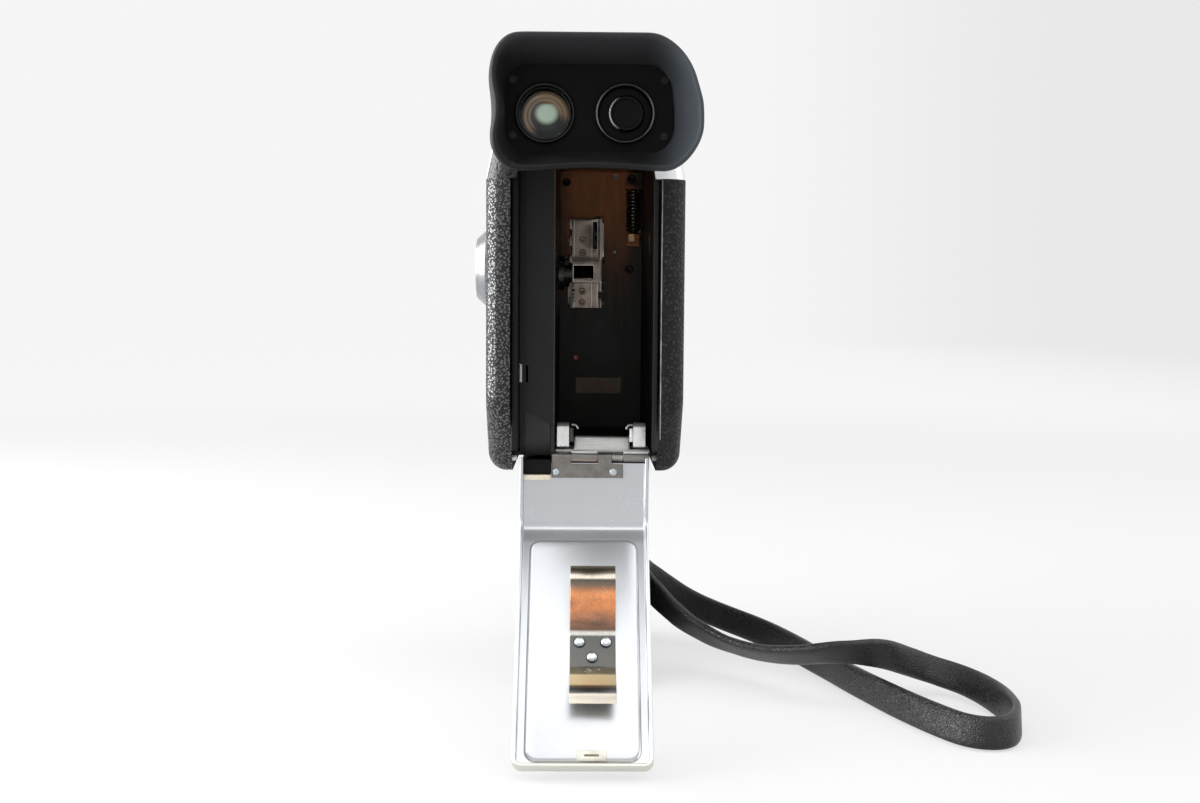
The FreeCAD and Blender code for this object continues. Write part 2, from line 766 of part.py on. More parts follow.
def gate_plate():
    """The milled film gate with its aperture, claw slot and side rails."""
    body = new_body("gate_plate", y="gate_face", z="axis_height")
    half = "gate_width / 2"
    pad(body, "y", "0", "gate_thickness", (rectangle, f"-{half}", half, "-gate_below", "gate_above"))
    pocket(body, "y", "-0.5", "0.9", (rectangle, f"-{half} + rail_width", f"{half} - rail_width",
                                      "-gate_below - 1", "gate_above + 1"))
    pocket(body, "y", "-0.5", "gate_thickness + 1",
           (rectangle, "-axis_side - aperture_width / 2", "-axis_side + aperture_width / 2",
            "-aperture_height / 2", "aperture_height / 2"),
           (rectangle, "claw_side - claw_slot_width / 2", "claw_side + claw_slot_width / 2",
            "claw_slot_above - claw_slot_height / 2", "claw_slot_above + claw_slot_height / 2"))
    pocket(body, "y", "-0.5", "gate_thickness + 1",
           *[(circle, GATE_SCREW_SIDE, rise, "screw_hole") for rise in GATE_SCREWS])
    for rise in ("5.9", "-6.2"):
        pocket(body, "y", "-0.5", "0.8",
               (rectangle, f"-{half} - 1", f"-{half} + rail_width", f"{rise} - 1.5", f"{rise} + 1.5"))
    return keep(body)


def chamber_screws():
    """The small flat screws of the gate plate and of the bulkhead."""
    places = [(GATE_SCREW_SIDE, "gate_face + 0.4 - screw_cap", f"axis_height + {rise}")
              for rise in GATE_SCREWS]
    places += [(x, "chamber_front - screw_cap", z) for x, z in WALL_SCREWS]
    return screws("chamber_screws", places, ("screw_head", "screw_cap"), ("screw_shank", "1.5"), "y")


def film_label():
    body = new_body("film_label")
    pad(body, "y", "chamber_front - 0.3", "0.3",
        (rounded, "-label_left", "label_width - label_left", "label_floor",
         "label_floor + label_height", "0.4"))
    return keep(body)


def film_claw():
    """A flat arm behind the bulkhead with one tooth that reaches through the gate."""
    body = new_body("film_claw", x="claw_side", z="axis_height + claw_slot_above")
    pad(body, "y", "bulkhead_front + 0.1", "0.8", (rectangle, "-1", "5", "-10", "4"))
    pad(body, "y", "gate_face - 0.7", "bulkhead_front + 0.2 - gate_face + 0.7",
        (rectangle, "-claw_tooth / 2", "claw_tooth / 2", "-0.5", "0.5"))
    return keep(body)


def takeup_spindle():
    """The shaft through the chamber's left wall, with three driving dogs on its head."""
    body = new_body("takeup_spindle", y="-spindle_rear", z="spindle_height")
    outer = "-gear_left - 3"
    pad(body, "x", outer, "gear_left + 3 - chamber_left + 0.3", (circle, "0", "0", "spindle_radius"))
    pad(body, "x", "-chamber_left + 0.3", "1.6", (circle, "0", "0", "spindle_head + 1.5"))
    pad(body, "x", "-chamber_left + 1.7", "2.6", (circle, "0", "0", "spindle_head - 0.6"))
    dog = pad(body, "x", "-chamber_left + 1.7", "1.7",
              (rectangle, "spindle_head - 1.4", "spindle_head + 0.9", "-0.5", "0.5"))
    ring = body.newObject("PartDesign::PolarPattern", "takeup_spindle_dogs")
    ring.Originals = [dog]
    ring.Axis = (next(f for f in body.Origin.OriginFeatures if f.Role == "X_Axis"), [""])
    ring.Angle = 360
    ring.Occurrences = 3
    body.Tip = ring
    return keep(body)


def teeth(body, facing, start, width, pitch, count, shifted=False):
    """Cuts a ring of tapered gaps round a wheel, the first one on or half a tooth off the axis."""
    document.recompute()
    space = f"({pitch}) * 360 / ({count}) / 57.3"
    high, low = f"{pitch} + {space} * 0.3", f"{pitch} - {space} * 0.32"
    turn = f"180 / ({count})" if shifted else "0"
    corners = []
    for radius, half in ((high, 0.41), (low, 0.22), (low, -0.22), (high, -0.41)):
        along_it, across = f"({radius})", f"({space} * {half})"
        corners.append((f"{along_it} * cos({turn}) - {across} * sin({turn})",
                        f"{along_it} * sin({turn}) + {across} * cos({turn})"))
    gap = pocket(body, facing, f"{start} - 0.01", f"{width} + 0.02", (polygon, *corners))
    ring = body.newObject("PartDesign::PolarPattern", body.Label + "_teeth")
    ring.Originals = [gap]
    role = facing.upper() + "_Axis"
    ring.Axis = (next(f for f in body.Origin.OriginFeatures if f.Role == role), [""])
    ring.Angle = 360
    ring.setExpression("Occurrences", formula(count))
    body.Tip = ring


def gear(label, y, z, pitch, count, bore, shifted=False):
    """A spur gear that turns about an axis along X."""
    body = new_body(label, "-gear_left", y, z)
    outer = f"{pitch} + gear_module * 0.62"
    pad(body, "x", "0", "gear_width", (circle, "0", "0", outer), (circle, "0", "0", bore))
    teeth(body, "x", "0", "gear_width", pitch, count, shifted)
    return keep(body)


def worm_shaft():
    """A worm under the drive gear, on a shaft through the bulkhead with a small gear at its front."""
    body = new_body("worm_shaft", x="-gear_plane", z="worm_height")
    shaft, worm = "shaft_radius", "worm_radius"
    middle = "-drive_rear"
    turned(body, "y", (polygon, (f"{middle} - 9", "0"), (f"{middle} - 9", shaft),
                       (f"{middle} - 7", shaft), (f"{middle} - 7", worm),
                       (f"{middle} + 7", worm), (f"{middle} + 7", shaft),
                       ("pinion_rear + 0.2", shaft), ("pinion_rear + 0.2", "0")))
    outer = "worm_pitch + gear_plane / (pinion_teeth + worm_teeth) * 1.24"
    pad(body, "y", "pinion_rear", "pinion_width", (circle, "0", "0", outer))
    teeth(body, "y", "pinion_rear", "pinion_width", "worm_pitch", "worm_teeth", True)
    return keep(body)


def drive_motor():
    body = new_body("drive_motor", z="motor_axis")
    turned(body, "y", (polygon, ("motor_rear", "shaft_radius + running_gap"), ("motor_rear", "3"),
                       ("motor_rear + 1.2", "3"), ("motor_rear + 1.2", "motor_radius"),
                       ("motor_front", "motor_radius"), ("motor_front", "2.5"),
                       ("body_front - plate_gauge", "2.5"), ("body_front - plate_gauge", "0"),
                       ("motor_front - 2", "0"), ("motor_front - 2", "shaft_radius + running_gap")))
    return keep(body)


def shutter_disc():
    """The thin half-open shutter, with the pinion behind it, on the motor's shaft."""
    body = new_body("shutter_disc", z="motor_axis")
    disc = "pinion_rear + pinion_width + 0.6"
    outer = "pinion_pitch + gear_plane / (pinion_teeth + worm_teeth) * 1.24"
    pad(body, "y", "pinion_rear", "pinion_width", (circle, "0", "0", outer))
    teeth(body, "y", "pinion_rear", "pinion_width", "pinion_pitch", "pinion_teeth")
    pad(body, "y", "pinion_rear + pinion_width - 0.1", "0.8", (circle, "0", "0", "2.6"))
    reach = "shutter_radius"
    pad(body, "y", disc, "shutter_gauge", (circle, "0", "0", reach))
    pocket(body, "y", f"{disc} - 0.1", "shutter_gauge + 0.2",
           (polygon, ("3.4", "3.4"), (reach, "4"), (f"{reach} + 2", f"{reach} + 2"),
            (f"-{reach} - 2", f"{reach} + 2"), (f"-{reach}", "4"), ("-3.4", "3.4")))
    pad(body, "y", disc, "motor_rear + 8 - (pinion_rear + pinion_width + 0.6)",
        (circle, "0", "0", "shaft_radius"))
    return keep(body)


def speed_feeler():
    """The brass block that the cartridge's notch meets, and the coil spring above it."""
    body = new_body("speed_feeler", x="feeler_side", y="chamber_front", z="feeler_height")
    pad(body, "z", "0", "feeler_rise", (rectangle, "-feeler_width / 2", "feeler_width / 2", "-4.6", "-0.1"))
    pad(body, "z", "feeler_rise - 0.1", "feeler_spring_length - feeler_travel",
        (circle, "0", "-2.5", "0.6"))
    keep(body)
    pitch = "(feeler_spring_length / 9)"
    rings = []
    for i in range(9):
        rise = f"feeler_height + feeler_rise + {pitch} * ({i} + 0.53)"
        rings.append(solid("Torus", f"feeler_coil_{i}",
                           ("feeler_side", "chamber_front - 2.5", rise),
                           Radius1="feeler_spring_radius - 0.45", Radius2=f"{pitch} * 0.52"))
    return keep(joined("feeler_spring", rings))


def hinge_bracket():
    """The nickel plate on the chamber floor with a raised block and two knuckles on short arms."""
    body = new_body("hinge_bracket", y="-hinge_rear", z="hinge_height")
    front = "knuckle_room"
    top = "chamber_floor - hinge_height"
    left = "-hinge_left"
    pad(body, "z", top, "leaf_gauge",
        (rectangle, left, "hinge_length - hinge_left", front, f"{front} + bracket_depth"))
    pad(body, "z", top, "block_rise",
        (rectangle, f"{left} + block_side", f"{left} + block_side + block_length",
         front, f"{front} + block_depth"))
    barrel = "knuckle_radius"
    for start, width in (("mid_left", "mid_knuckle"), ("leaf_right + knuckle_gap", "end_knuckle")):
        pad(body, "x", start, width,
            (polygon, ("0", f"{top} + leaf_gauge"), (f"{front} + 0.3", f"{top} + leaf_gauge"),
             (f"{front} + 0.3", top), (barrel, top), (f"{barrel} * 0.7", "0"),
             (f"-{barrel} * 0.7", "0"), (f"-{barrel} * 0.85", f"{barrel} * 0.5")))
        pad(body, "x", start, width, (circle, "0", "0", barrel))
    pocket(body, "x", f"{left} - 1", "hinge_length + 2", (circle, "0", "0", "pin_radius + running_gap"))
    return keep(body)


def hinge_clips():
    """Two bent spring clips that steady the cartridge's foot."""
    group = []
    front = "-chamber_rear + 0.4"
    for i, side in enumerate(("-hinge_left + 0.6", "hinge_length - hinge_left - clip_width - 1.6")):
        body = new_body(f"hinge_clip_{i}", x=side, z="chamber_floor + leaf_gauge")
        pad(body, "x", "0", "clip_width",
            (polygon, (front, "0"), (front, "clip_rise"), (f"{front} + 3", "clip_rise + 0.8"),
             (f"{front} + 3.3", "clip_rise + 0.1"), (f"{front} + 0.8", "clip_rise - 0.6"),
             (f"{front} + 0.8", "0.7"), (f"{front} + 6", "0.7"), (f"{front} + 6", "0")))
        group.append(body)
    return keep(joined("hinge_clips", group, "Compound"))


def hinge_pin():
    return keep(rod("hinge_pin", ("leaf_left", "-hinge_rear", "hinge_height"), "pin_radius",
                    "leaf_width + knuckle_gap + end_knuckle + 0.3", "x"))


def hinge_spring():
    """The closed coils round the pin beside the leaf's right knuckle."""
    rings = []
    pitch = "(coil_room - 2 * knuckle_gap) / 6"
    for i in range(6):
        rings.append(solid("Torus", f"hinge_coil_{i}",
                           (f"coil_left + knuckle_gap + ({i} + 0.5) * {pitch}",
                            "-hinge_rear", "hinge_height"), "x",
                           Radius1="pin_radius + running_gap + coil_wire", Radius2="coil_wire"))
    return keep(joined("hinge_spring", rings))


def door_body(label):
    """A body in the door's own frame: the hinge at the origin, the door drawn closed."""
    return new_body(label, "0", "-hinge_rear", "hinge_height", "door_angle")


def door():
    """Sheet bent once: a short leg from the hinge and a long flat leg with turned-in sides."""
    body = door_body("film_door")
    outer = "door_face - door_gauge"
    pad(body, "x", "door_left", "door_width",
        (polygon, ("-1.6", "1.9"), ("door_face", "door_bend"), ("door_face", "door_reach"),
         (outer, "door_reach"), (outer, "door_bend - 0.4"), ("-2.4", "0.9")))
    for side in ("door_left", "door_half - door_gauge"):
        pad(body, "x", side, "door_gauge",
            (polygon, ("-1.6", "1.9"), ("-2.4", "0.9"), (outer, "door_bend - 0.4"),
             (outer, "door_reach"), ("door_face + flange_height", "door_reach"),
             ("door_face + flange_height", "door_bend + 1.6"), ("-1.4", "3.9")))
    pad(body, "z", "door_reach - door_gauge", "door_gauge",
        (rectangle, "door_left", "door_half", outer, "door_face + flange_height"))
    inner = "door_half - panel_margin"
    pad(body, "y", "door_face - 0.1", "panel_rise + 0.1",
        (rounded, f"-({inner})", inner, "panel_start", "door_reach - 2.2", "3"))
    document.recompute()
    face = value("door_face + panel_rise")
    rounded_edges(body, "0.7", lambda e: lies_at(e, "y", face)
                  and e.BoundBox.ZMin > value("panel_start - 0.5")
                  and e.BoundBox.ZMax < value("door_reach - 1.9") and e.BoundBox.XMax <= value(inner) + 0.01
                  and e.BoundBox.XMin >= -value(inner) - 0.01)
    pocket(body, "y", "door_face + 0.1", "panel_rise",
           *[(circle, x, z, "rivet_hole") for x, z in SPRING_RIVETS])
    pocket(body, "y", "door_face + 0.2", "flange_height + 1",
           (rectangle, "-keeper_width / 2 - 0.2", "keeper_width / 2 + 0.2",
            "door_reach - 2", "door_reach + 1"))
    return keep(body)


def on_leg(reach, lift):
    """The place on the door's short leg, so far from the hinge and so far off its inner face."""
    run, rise = "(door_face + 1.6)", "(door_bend - 1.9)"
    length = f"sqrt({run} ^ 2 + {rise} ^ 2)"
    return (f"-1.6 + ({reach}) * {run} / {length} + ({lift}) * {rise} / {length}",
            f"1.9 + ({reach}) * {rise} / {length} - ({lift}) * {run} / {length}")


def hinge_leaf():
    """The nickel leaf on the short leg, rolled into a knuckle each side of the bracket's middle one."""
    body = door_body("hinge_leaf")
    near, far = "0.05", "0.05 + leaf_gauge"
    lip = "leaf_notch - leaf_above"
    pad(body, "x", "leaf_left", "leaf_width",
        (polygon, on_leg(lip, near), on_leg("leaf_length", near), on_leg("leaf_length", far),
         on_leg(lip, far)))
    for start, end in (("leaf_left", "mid_left - knuckle_gap"), ("mid_right + knuckle_gap", "coil_left")):
        width = f"{end} - ({start})"
        pad(body, "x", start, width, (circle, "0", "0", "knuckle_radius"))
        pad(body, "x", start, width,
            (polygon, on_leg("-leaf_above", near), on_leg(f"{lip} + 0.1", near),
             on_leg(f"{lip} + 0.1", far), on_leg("-leaf_above", far)))
    pocket(body, "x", "-hinge_left - 1", "hinge_length", (circle, "0", "0", "pin_radius + running_gap"))
    return keep(body)


def leg_strip(label, start, end, rise):
    """A strip on the short leg, beside the leaf."""
    body = door_body(label)
    left = "door_left + door_gauge + 0.2"
    pad(body, "x", left, f"leaf_left - 0.2 - ({left})",
        (polygon, on_leg(start, "0.05"), on_leg(end, "0.05"), on_leg(end, rise), on_leg(start, rise)))
    return keep(body)


def pressure_spring():
    """The leaf spring that pushes the cartridge to the gate: a curved tongue each way."""
    body = door_body("pressure_spring")
    gauge = "spring_gauge"
    face = "panel_face"
    top, seat, end = "spring_rise", "spring_seat", "spring_seat + seat_length"
    shape = [(f"{seat} - 16.6", f"{top} - 1.2"), (f"{seat} - 13.2", top), (f"{seat} - 7.2", f"{top} - 1"),
             (f"{seat} - 2.6", f"{top} - 3.8"), (seat, "0"), (end, "0"), (f"{end} + 2.9", "2.2"),
             (f"{end} + 6.5", f"{top} - 1.8"), (f"{end} + 9.2", f"{top} - 0.4"),
             (f"{end} + 11.2", f"{top} - 1.2")]
    outer = [(f"{face} + {rise} + {gauge}", z) for z, rise in shape]
    inner = [(f"{face} + {rise}", z) for z, rise in reversed(shape)]
    pad(body, "x", "spring_side - spring_width / 2", "spring_width", (polygon, *outer, *inner))
    pocket(body, "y", f"{face} - 0.1", f"{gauge} + 0.2",
           *[(circle, x, z, "rivet_hole") for x, z in SPRING_RIVETS])
    return keep(body)


def door_rivets():
    """The three dome rivets that hold the pressure spring."""
    group = []
    seat = "panel_face + spring_gauge"
    for i, (x, z) in enumerate(SPRING_RIVETS):
        body = door_body(f"door_rivets_{i}")
        pad(body, "y", f"{seat} - 1.2", "1.2", (circle, x, z, "rivet_shank"))
        pad(body, "y", seat, "rivet_rise", (circle, x, z, "rivet_head"))
        top = value(f"{seat} + rivet_rise")
        rounded_edges(body, "rivet_rise * 0.8", lambda e, top=top: lies_at(e, "y", top))
        group.append(body)
    return keep(joined("door_rivets", group, "Compound"))


def door_keeper():
    """The slotted keeper at the door's tip that the latch hooks into."""
    body = door_body("door_keeper")
    half = "keeper_width / 2"
    pad(body, "z", "door_reach - 3.6", "0.7",
        (rectangle, f"-{half}", half, "panel_face", "door_face + flange_height"))
    pad(body, "y", "panel_face", "0.6",
        (rectangle, f"-{half}", half, "door_reach - 5.4", "door_reach - 3"))
    return keep(body)


def door_latch():
    """The sliding hook above the chamber mouth, under the casting's roof."""
    body = new_body("door_latch", z="latch_floor")
    rear, top = "-body_rear + cover_wall + 0.7", "chamber_roof - latch_floor - 0.1"
    pad(body, "z", "0", top, (rectangle, "-9", "9", rear, "-chamber_rear - sheet_gauge - 0.4"))
    pad(body, "z", "-3.2", "3.3", (rectangle, "-2.6", "-0.6", "-hinge_rear - door_lean + 1",
                                   "-hinge_rear - door_lean + 2"))
    return keep(body)


def clear_the_door(body, floor):
    """Scoops the body's underside where the tip of the door swings past."""
    pocket(body, "x", "-notch_half", "2 * notch_half",
           (circle, "-hinge_rear", f"hinge_height - ({floor})", "door_sweep"))


def eyepiece_housing():
    """The black block that carries both eyepieces behind the top cover."""
    body = new_body("eyepiece_housing", z="eye_floor")
    pad(body, "y", "-eye_rear", "eye_rear - body_rear",
        (rounded, "-eye_left", "eye_right", "0", "eye_height", "4"))
    axis = "eye_axis - eye_floor"
    pocket(body, "y", "-eye_rear - 1", "8", (circle, "-ocular_side", axis, "ocular_bore"))
    pocket(body, "y", "-eye_rear + 6", "eye_rear", (circle, "-ocular_side", axis, "2.4"))
    pocket(body, "y", "-eye_rear - 1", "7", (circle, "dial_side", axis, "dial_bore"))
    pocket(body, "y", "-eye_rear - 1", "2.2",
           *[(circle, x, f"{z} - eye_floor", "screw_hole") for x, z in PLATE_SCREWS])
    clear_the_door(body, "eye_floor")
    return keep(body)


def eyepiece_plate():
    body = new_body("eyepiece_plate")
    pad(body, "y", "-plate_rear", "eye_plate",
        (rounded, "-eye_left + 1.2", "eye_right - 1.1", "eye_floor + 0.6", "eye_roof - 0.4", "3.4"),
        (circle, "-ocular_side", "eye_axis", "ocular_bore"),
        (circle, "dial_side", "eye_axis", "dial_bore"),
        *[(circle, x, z, "screw_hole") for x, z in PLATE_SCREWS])
    return keep(body)


def plate_screws():
    places = [(x, "-plate_rear - plate_cap", z) for x, z in PLATE_SCREWS]
    return screws("plate_screws", places, ("plate_head", "plate_cap"), ("screw_shank", "eye_plate + 1"), "y")


def eyecup():
    """The rubber hood: a sleeve over the housing that flares to a lopsided soft rim."""
    body = new_body("eyecup")
    near = drawn(body, "y", "-cup_front",
                 [(rounded, "-eye_left - cup_wall", "eye_right + cup_wall", "eye_floor - cup_wall",
                   "eye_roof + cup_wall", "5")])
    middle = drawn(body, "y", "-plate_rear",
                   [(rounded, "-eye_left - cup_wall - 0.4", "eye_right + cup_wall + 1.4",
                     "eye_floor - cup_wall - 1", "eye_roof + cup_wall + 1", "6")])
    rim = drawn(body, "y", "-cup_rim",
                [(rounded, "-eye_left - 1.4", "eye_right + 4.7", "eye_floor - 4.4", "eye_roof + 4.6", "8")])
    hood = body.newObject("PartDesign::AdditiveLoft", "eyecup_hood")
    hood.Profile = near
    hood.Sections = [middle, rim]
    hood.Ruled = True
    document.recompute()
    low = drawn(body, "y", "-plate_rear + 0.1",
                [(rounded, "-eye_left + 1.2", "eye_right - 1.1",
                  "eye_floor + 0.6", "eye_roof - 0.4", "3.4")])
    high = drawn(body, "y", "-cup_rim - 0.1",
                 [(rounded, "-eye_left + 0.2", "eye_right + 3",
                   "eye_floor - 2.6", "eye_roof + 2.8", "6.4")])
    funnel = body.newObject("PartDesign::SubtractiveLoft", "eyecup_funnel")
    funnel.Profile = low
    funnel.Sections = [high]
    funnel.Ruled = True
    pocket(body, "y", "-plate_rear", "plate_rear - cup_front + 1",
           (rounded, "-eye_left - 0.02", "eye_right + 0.02", "eye_floor - 0.02", "eye_roof + 0.02", "4"))
    clear_the_door(body, "0")
    return keep(body)


def ocular():
    """The bevelled ring and the glass of the left eyepiece."""
    body = new_body("ocular_ring", x="-ocular_side", z="eye_axis")
    turned(body, "y", (polygon, ("-plate_rear", "ocular_glass"), ("-plate_rear", "ocular_radius"),
                       ("-plate_rear - 1.3", "ocular_radius - 0.4"),
                       ("-plate_rear - 1.3", "ocular_radius - 1.1"),
                       ("-plate_rear - 0.2", "ocular_glass")))
    keep(body)
    return lens("ocular_lens", "-ocular_side", "-plate_rear + 2.4", "eye_axis",
                "ocular_glass + 0.3", "4.2")


def eyepiece_dial():
    """The round knob beside the ocular: a raised ring, a sunk face and a stub shaft."""
    body = new_body("eyepiece_dial", x="dial_side", z="eye_axis")
    face = "-plate_rear - 0.2"
    turned(body, "y", (polygon, (face, "0"), (f"{face} - 0.5", "0"), (f"{face} - 0.5", "4.4"),
                       (f"{face} - 0.9", "5.6"), (f"{face} - 1.9", "6.2"),
                       (f"{face} - 1.9", "dial_radius - 0.4"), (f"{face} - 1.4", "dial_radius"),
                       (face, "dial_radius")))
    pad(body, "y", f"{face} - 0.2", "eye_plate + 5", (circle, "0", "0", "dial_shaft"))
    return keep(body)


def finder_tube():
    body = new_body("finder_tube", x="-ocular_side", z="finder_axis")
    start = "-body_rear"
    turned(body, "y", (polygon, (start, "finder_radius - 1"), (start, "finder_radius"),
                       (f"{start} + finder_length", "finder_radius"),
                       (f"{start} + finder_length", "finder_radius - 1")))
    return keep(body)


def lens_barrel():
    """The fixed tube: a slim relay tube inside the body and the wide barrel ahead of it."""
    body = new_body("lens_barrel", x="-axis_side", z="axis_height")
    relay, bore = "relay_radius", "relay_radius - relay_wall"
    inner = "barrel_radius - barrel_wall"
    turned(body, "y", (polygon, ("relay_rear", bore), ("relay_rear", relay), ("body_front", relay),
                       ("body_front", "flange_radius"), ("body_front + 3", "flange_radius"),
                       ("body_front + 4", "barrel_radius"), ("barrel_front", "barrel_radius"),
                       ("barrel_front", inner), ("body_front + 3", inner), ("body_front + 3", bore)))
    keep(body)
    return lens("relay_lens", "-axis_side", "relay_rear + 3", "axis_height",
                "relay_radius - relay_wall + 0.3", "3")


def zoom_ring():
    """The ring that changes the focal length, with its lever."""
    body = new_body("zoom_ring", x="-axis_side", z="axis_height")
    start, end = "zoom_rear", "zoom_rear + zoom_width"
    bore = "barrel_radius + running_gap"
    turned(body, "y", (polygon, (start, bore), (start, "ring_radius - 1"), (f"{start} + 1", "ring_radius"),
                       (f"{end} - 1", "ring_radius"), (end, "ring_radius - 1"), (end, bore)))
    rib(body, start, "zoom_width")
    pocket(body, "z", "ring_radius - 1.2", "2", (circle, "0", f"{start} + zoom_width / 2", "lever_radius"))
    keep(body)
    lever = new_body("zoom_lever", x="-axis_side", y="zoom_rear + zoom_width / 2", z="axis_height")
    pad(lever, "z", "ring_radius - 1.2", "lever_rise", (circle, "0", "0", "lever_radius - 0.02"))
    pad(lever, "z", "ring_radius - 3 + lever_rise", "4.5", (circle, "0", "0", "lever_radius + 1"))
    return keep(lever)


def rib(body, start, width):
    """A ring of straight grip grooves."""
    document.recompute()
    groove = pocket(body, "y", f"{start} + 2", f"{width} - 4",
                    (rectangle, "-0.7", "0.7", "ring_radius - 0.8", "ring_radius + 1"))
    ring = body.newObject("PartDesign::PolarPattern", body.Label + "_grooves")
    ring.Originals = [groove]
    ring.Axis = (next(f for f in body.Origin.OriginFeatures if f.Role == "Y_Axis"), [""])
    ring.Angle = 360
    ring.Occurrences = 36
    body.Tip = ring


def focus_ring():
    """The front ring that focuses and carries the front glass and its hood."""
    body = new_body("focus_ring", x="-axis_side", z="axis_height")
    bore, seat = "barrel_radius + running_gap", "glass_radius - 0.2"
    turned(body, "y", (polygon, ("focus_rear", bore), ("focus_rear", "ring_radius"),
                       ("focus_front - 12", "ring_radius"), ("focus_front - 8", "hood_radius"),
                       ("focus_front", "hood_radius"), ("focus_front", "hood_radius - 1.6"),
                       ("focus_front - 6", "glass_radius + 1.4"), ("focus_front - 13", seat),
                       ("barrel_front + 0.4", seat), ("barrel_front + 0.4", bore)))
    rib(body, "focus_rear", "focus_front - 12 - focus_rear")
    keep(body)
    return lens("front_lens", "-axis_side", "focus_front - 9.4", "axis_height", "glass_radius + 0.5",
                "glass_thickness")


def side_dial():
    """The bright chamfered dial on the left cover, on a shaft through its wall."""
    body = new_body("side_dial", y="-side_dial_rear", z="side_dial_height")
    wall = "-half_width"
    turned(body, "x", (polygon, (f"{wall} - 0.1", "0"), (f"{wall} - 0.1", "side_dial_radius"),
                       (f"{wall} - side_dial_rise * 0.4", "side_dial_radius"),
                       (f"{wall} - side_dial_rise", "side_dial_radius - 2.4"),
                       (f"{wall} - side_dial_rise", "0")))
    pad(body, "x", f"{wall} - 0.2", "cover_wall + 2", (circle, "0", "0", "spindle_radius"))
    return keep(body)


def cartridge_window():
    """The clear window on the cartridge, standing a little proud of the right cover."""
    body = new_body("cartridge_window")
    pad(body, "x", "half_width - cover_wall", "cover_wall + window_rise",
        window_outline("0.02"))
    return keep(body)


def grip_shell(label, side):
    """One moulded half of the grip, hollow for the cells and open to the rear for their cover."""
    body = new_body(label)
    start = "0.02" if side > 0 else "-grip_half"
    depth = "grip_half - 0.02"
    pad(body, "x", start, depth,
        (polygon, ("-grip_rear", "foot_height"), ("grip_front - 1", "foot_height"),
         ("grip_front - 4", "foot_height + 24"), ("grip_front", "grip_roof"), ("-grip_rear", "grip_roof")))
    face = side * value("grip_half")
    level = (value("foot_height"), value("grip_roof"))
    rounded_edges(body, "grip_round",
                  lambda e: lies_at(e, "x", face) and not any(lies_at(e, "z", h) for h in level))
    inner = "0" if side > 0 else "-grip_half + grip_wall"
    pocket(body, "x", inner, "grip_half - grip_wall",
           (polygon, ("-grip_rear + grip_round * 0.5", "foot_height + 1.4"),
            ("grip_front - 9", "foot_height + 1.4"), ("grip_front - 9", "grip_roof - 2"),
            ("-grip_rear + grip_round * 0.5", "grip_roof - 2")))
    low = "-0.5" if side > 0 else "-hatch_width / 2 - clearance"
    pocket(body, "y", "-grip_rear - 1", "grip_round + 1",
           (rectangle, low, f"{low} + hatch_width / 2 + 0.8", "hatch_floor - clearance",
            "hatch_floor + hatch_height + clearance"))
    low = "0" if side > 0 else "-hatch_width / 2 - 1.6"
    pocket(body, "x", low, "hatch_width / 2 + 1.6",
           (circle, "-grip_rear + hatch_gauge / 2 + 0.2", "hatch_floor + 1", "hatch_pin + running_gap"))
    low = "-0.5" if side > 0 else "-trigger_width / 2 - clearance"
    pocket(body, "y", "grip_front - 12", "14",
           (rectangle, low, f"{low} + trigger_width / 2 + 0.8", "trigger_floor - clearance",
            "trigger_roof + clearance"))
    return keep(body)


def grip_foot():
    """The wide foot that the camera stands on, with a boss for the threaded bush."""
    body = new_body("grip_foot")
    pad(body, "z", "0", "foot_height",
        (rounded, "-foot_width / 2", "foot_width / 2", "-foot_rear", "foot_front", "foot_round"))
    top = value("foot_height")
    rounded_edges(body, "2.5", lambda e: lies_at(e, "z", top))
    rounded_edges(body, "0.8", lambda e: lies_at(e, "z", 0))
    pocket(body, "z", "-1", "thread_depth + 2", (circle, "0", "0", "bush_radius"))
    return keep(body)


def tripod_bush():
    body = new_body("tripod_bush")
    pad(body, "z", "0", "thread_depth",
        (circle, "0", "0", "bush_radius"), (circle, "0", "0", "thread_radius"))
    return keep(body)


def battery_cells():
    """Four cells in two rows, each with its raised cap."""
    group = []
    for i, side in enumerate(("-cell_radius - 0.2", "cell_radius + 0.2")):
        for k, row in enumerate(("-14.4", "0.2")):
            floor = "foot_height + 2.2"
            cell = rod(f"cell_{i}{k}", (side, row, floor), "cell_radius", "cell_length - 1")
            cap = rod(f"cap_{i}{k}", (side, row, f"{floor} + cell_length - 1"), "2.6", "1")
            group.append(joined(f"battery_{i}{k}", [cell, cap]))
    return keep(joined("battery_cells", group, "Compound"))


def battery_cover():
    """The panel at the grip's rear, hinged at its foot, with a pull lip at its top."""
    body = new_body("battery_cover", y="-grip_rear + hatch_gauge / 2 + 0.2", z="hatch_floor + 1")
    half = "hatch_width / 2"
    pad(body, "y", "-hatch_gauge / 2", "hatch_gauge",
        (rectangle, f"-{half}", half, "0.2", "hatch_height - 1"))
    pad(body, "x", f"-{half}", "hatch_width", (circle, "0", "0", "hatch_gauge / 2"))
    pad(body, "y", "-hatch_gauge / 2 - 1", "1.1",
        (rounded, "-5", "5", "hatch_height - 5", "hatch_height - 2.4", "1"))
    pad(body, "x", f"-{half} - 1.4", "hatch_width + 2.8", (circle, "0", "0", "hatch_pin"))
    return keep(body)


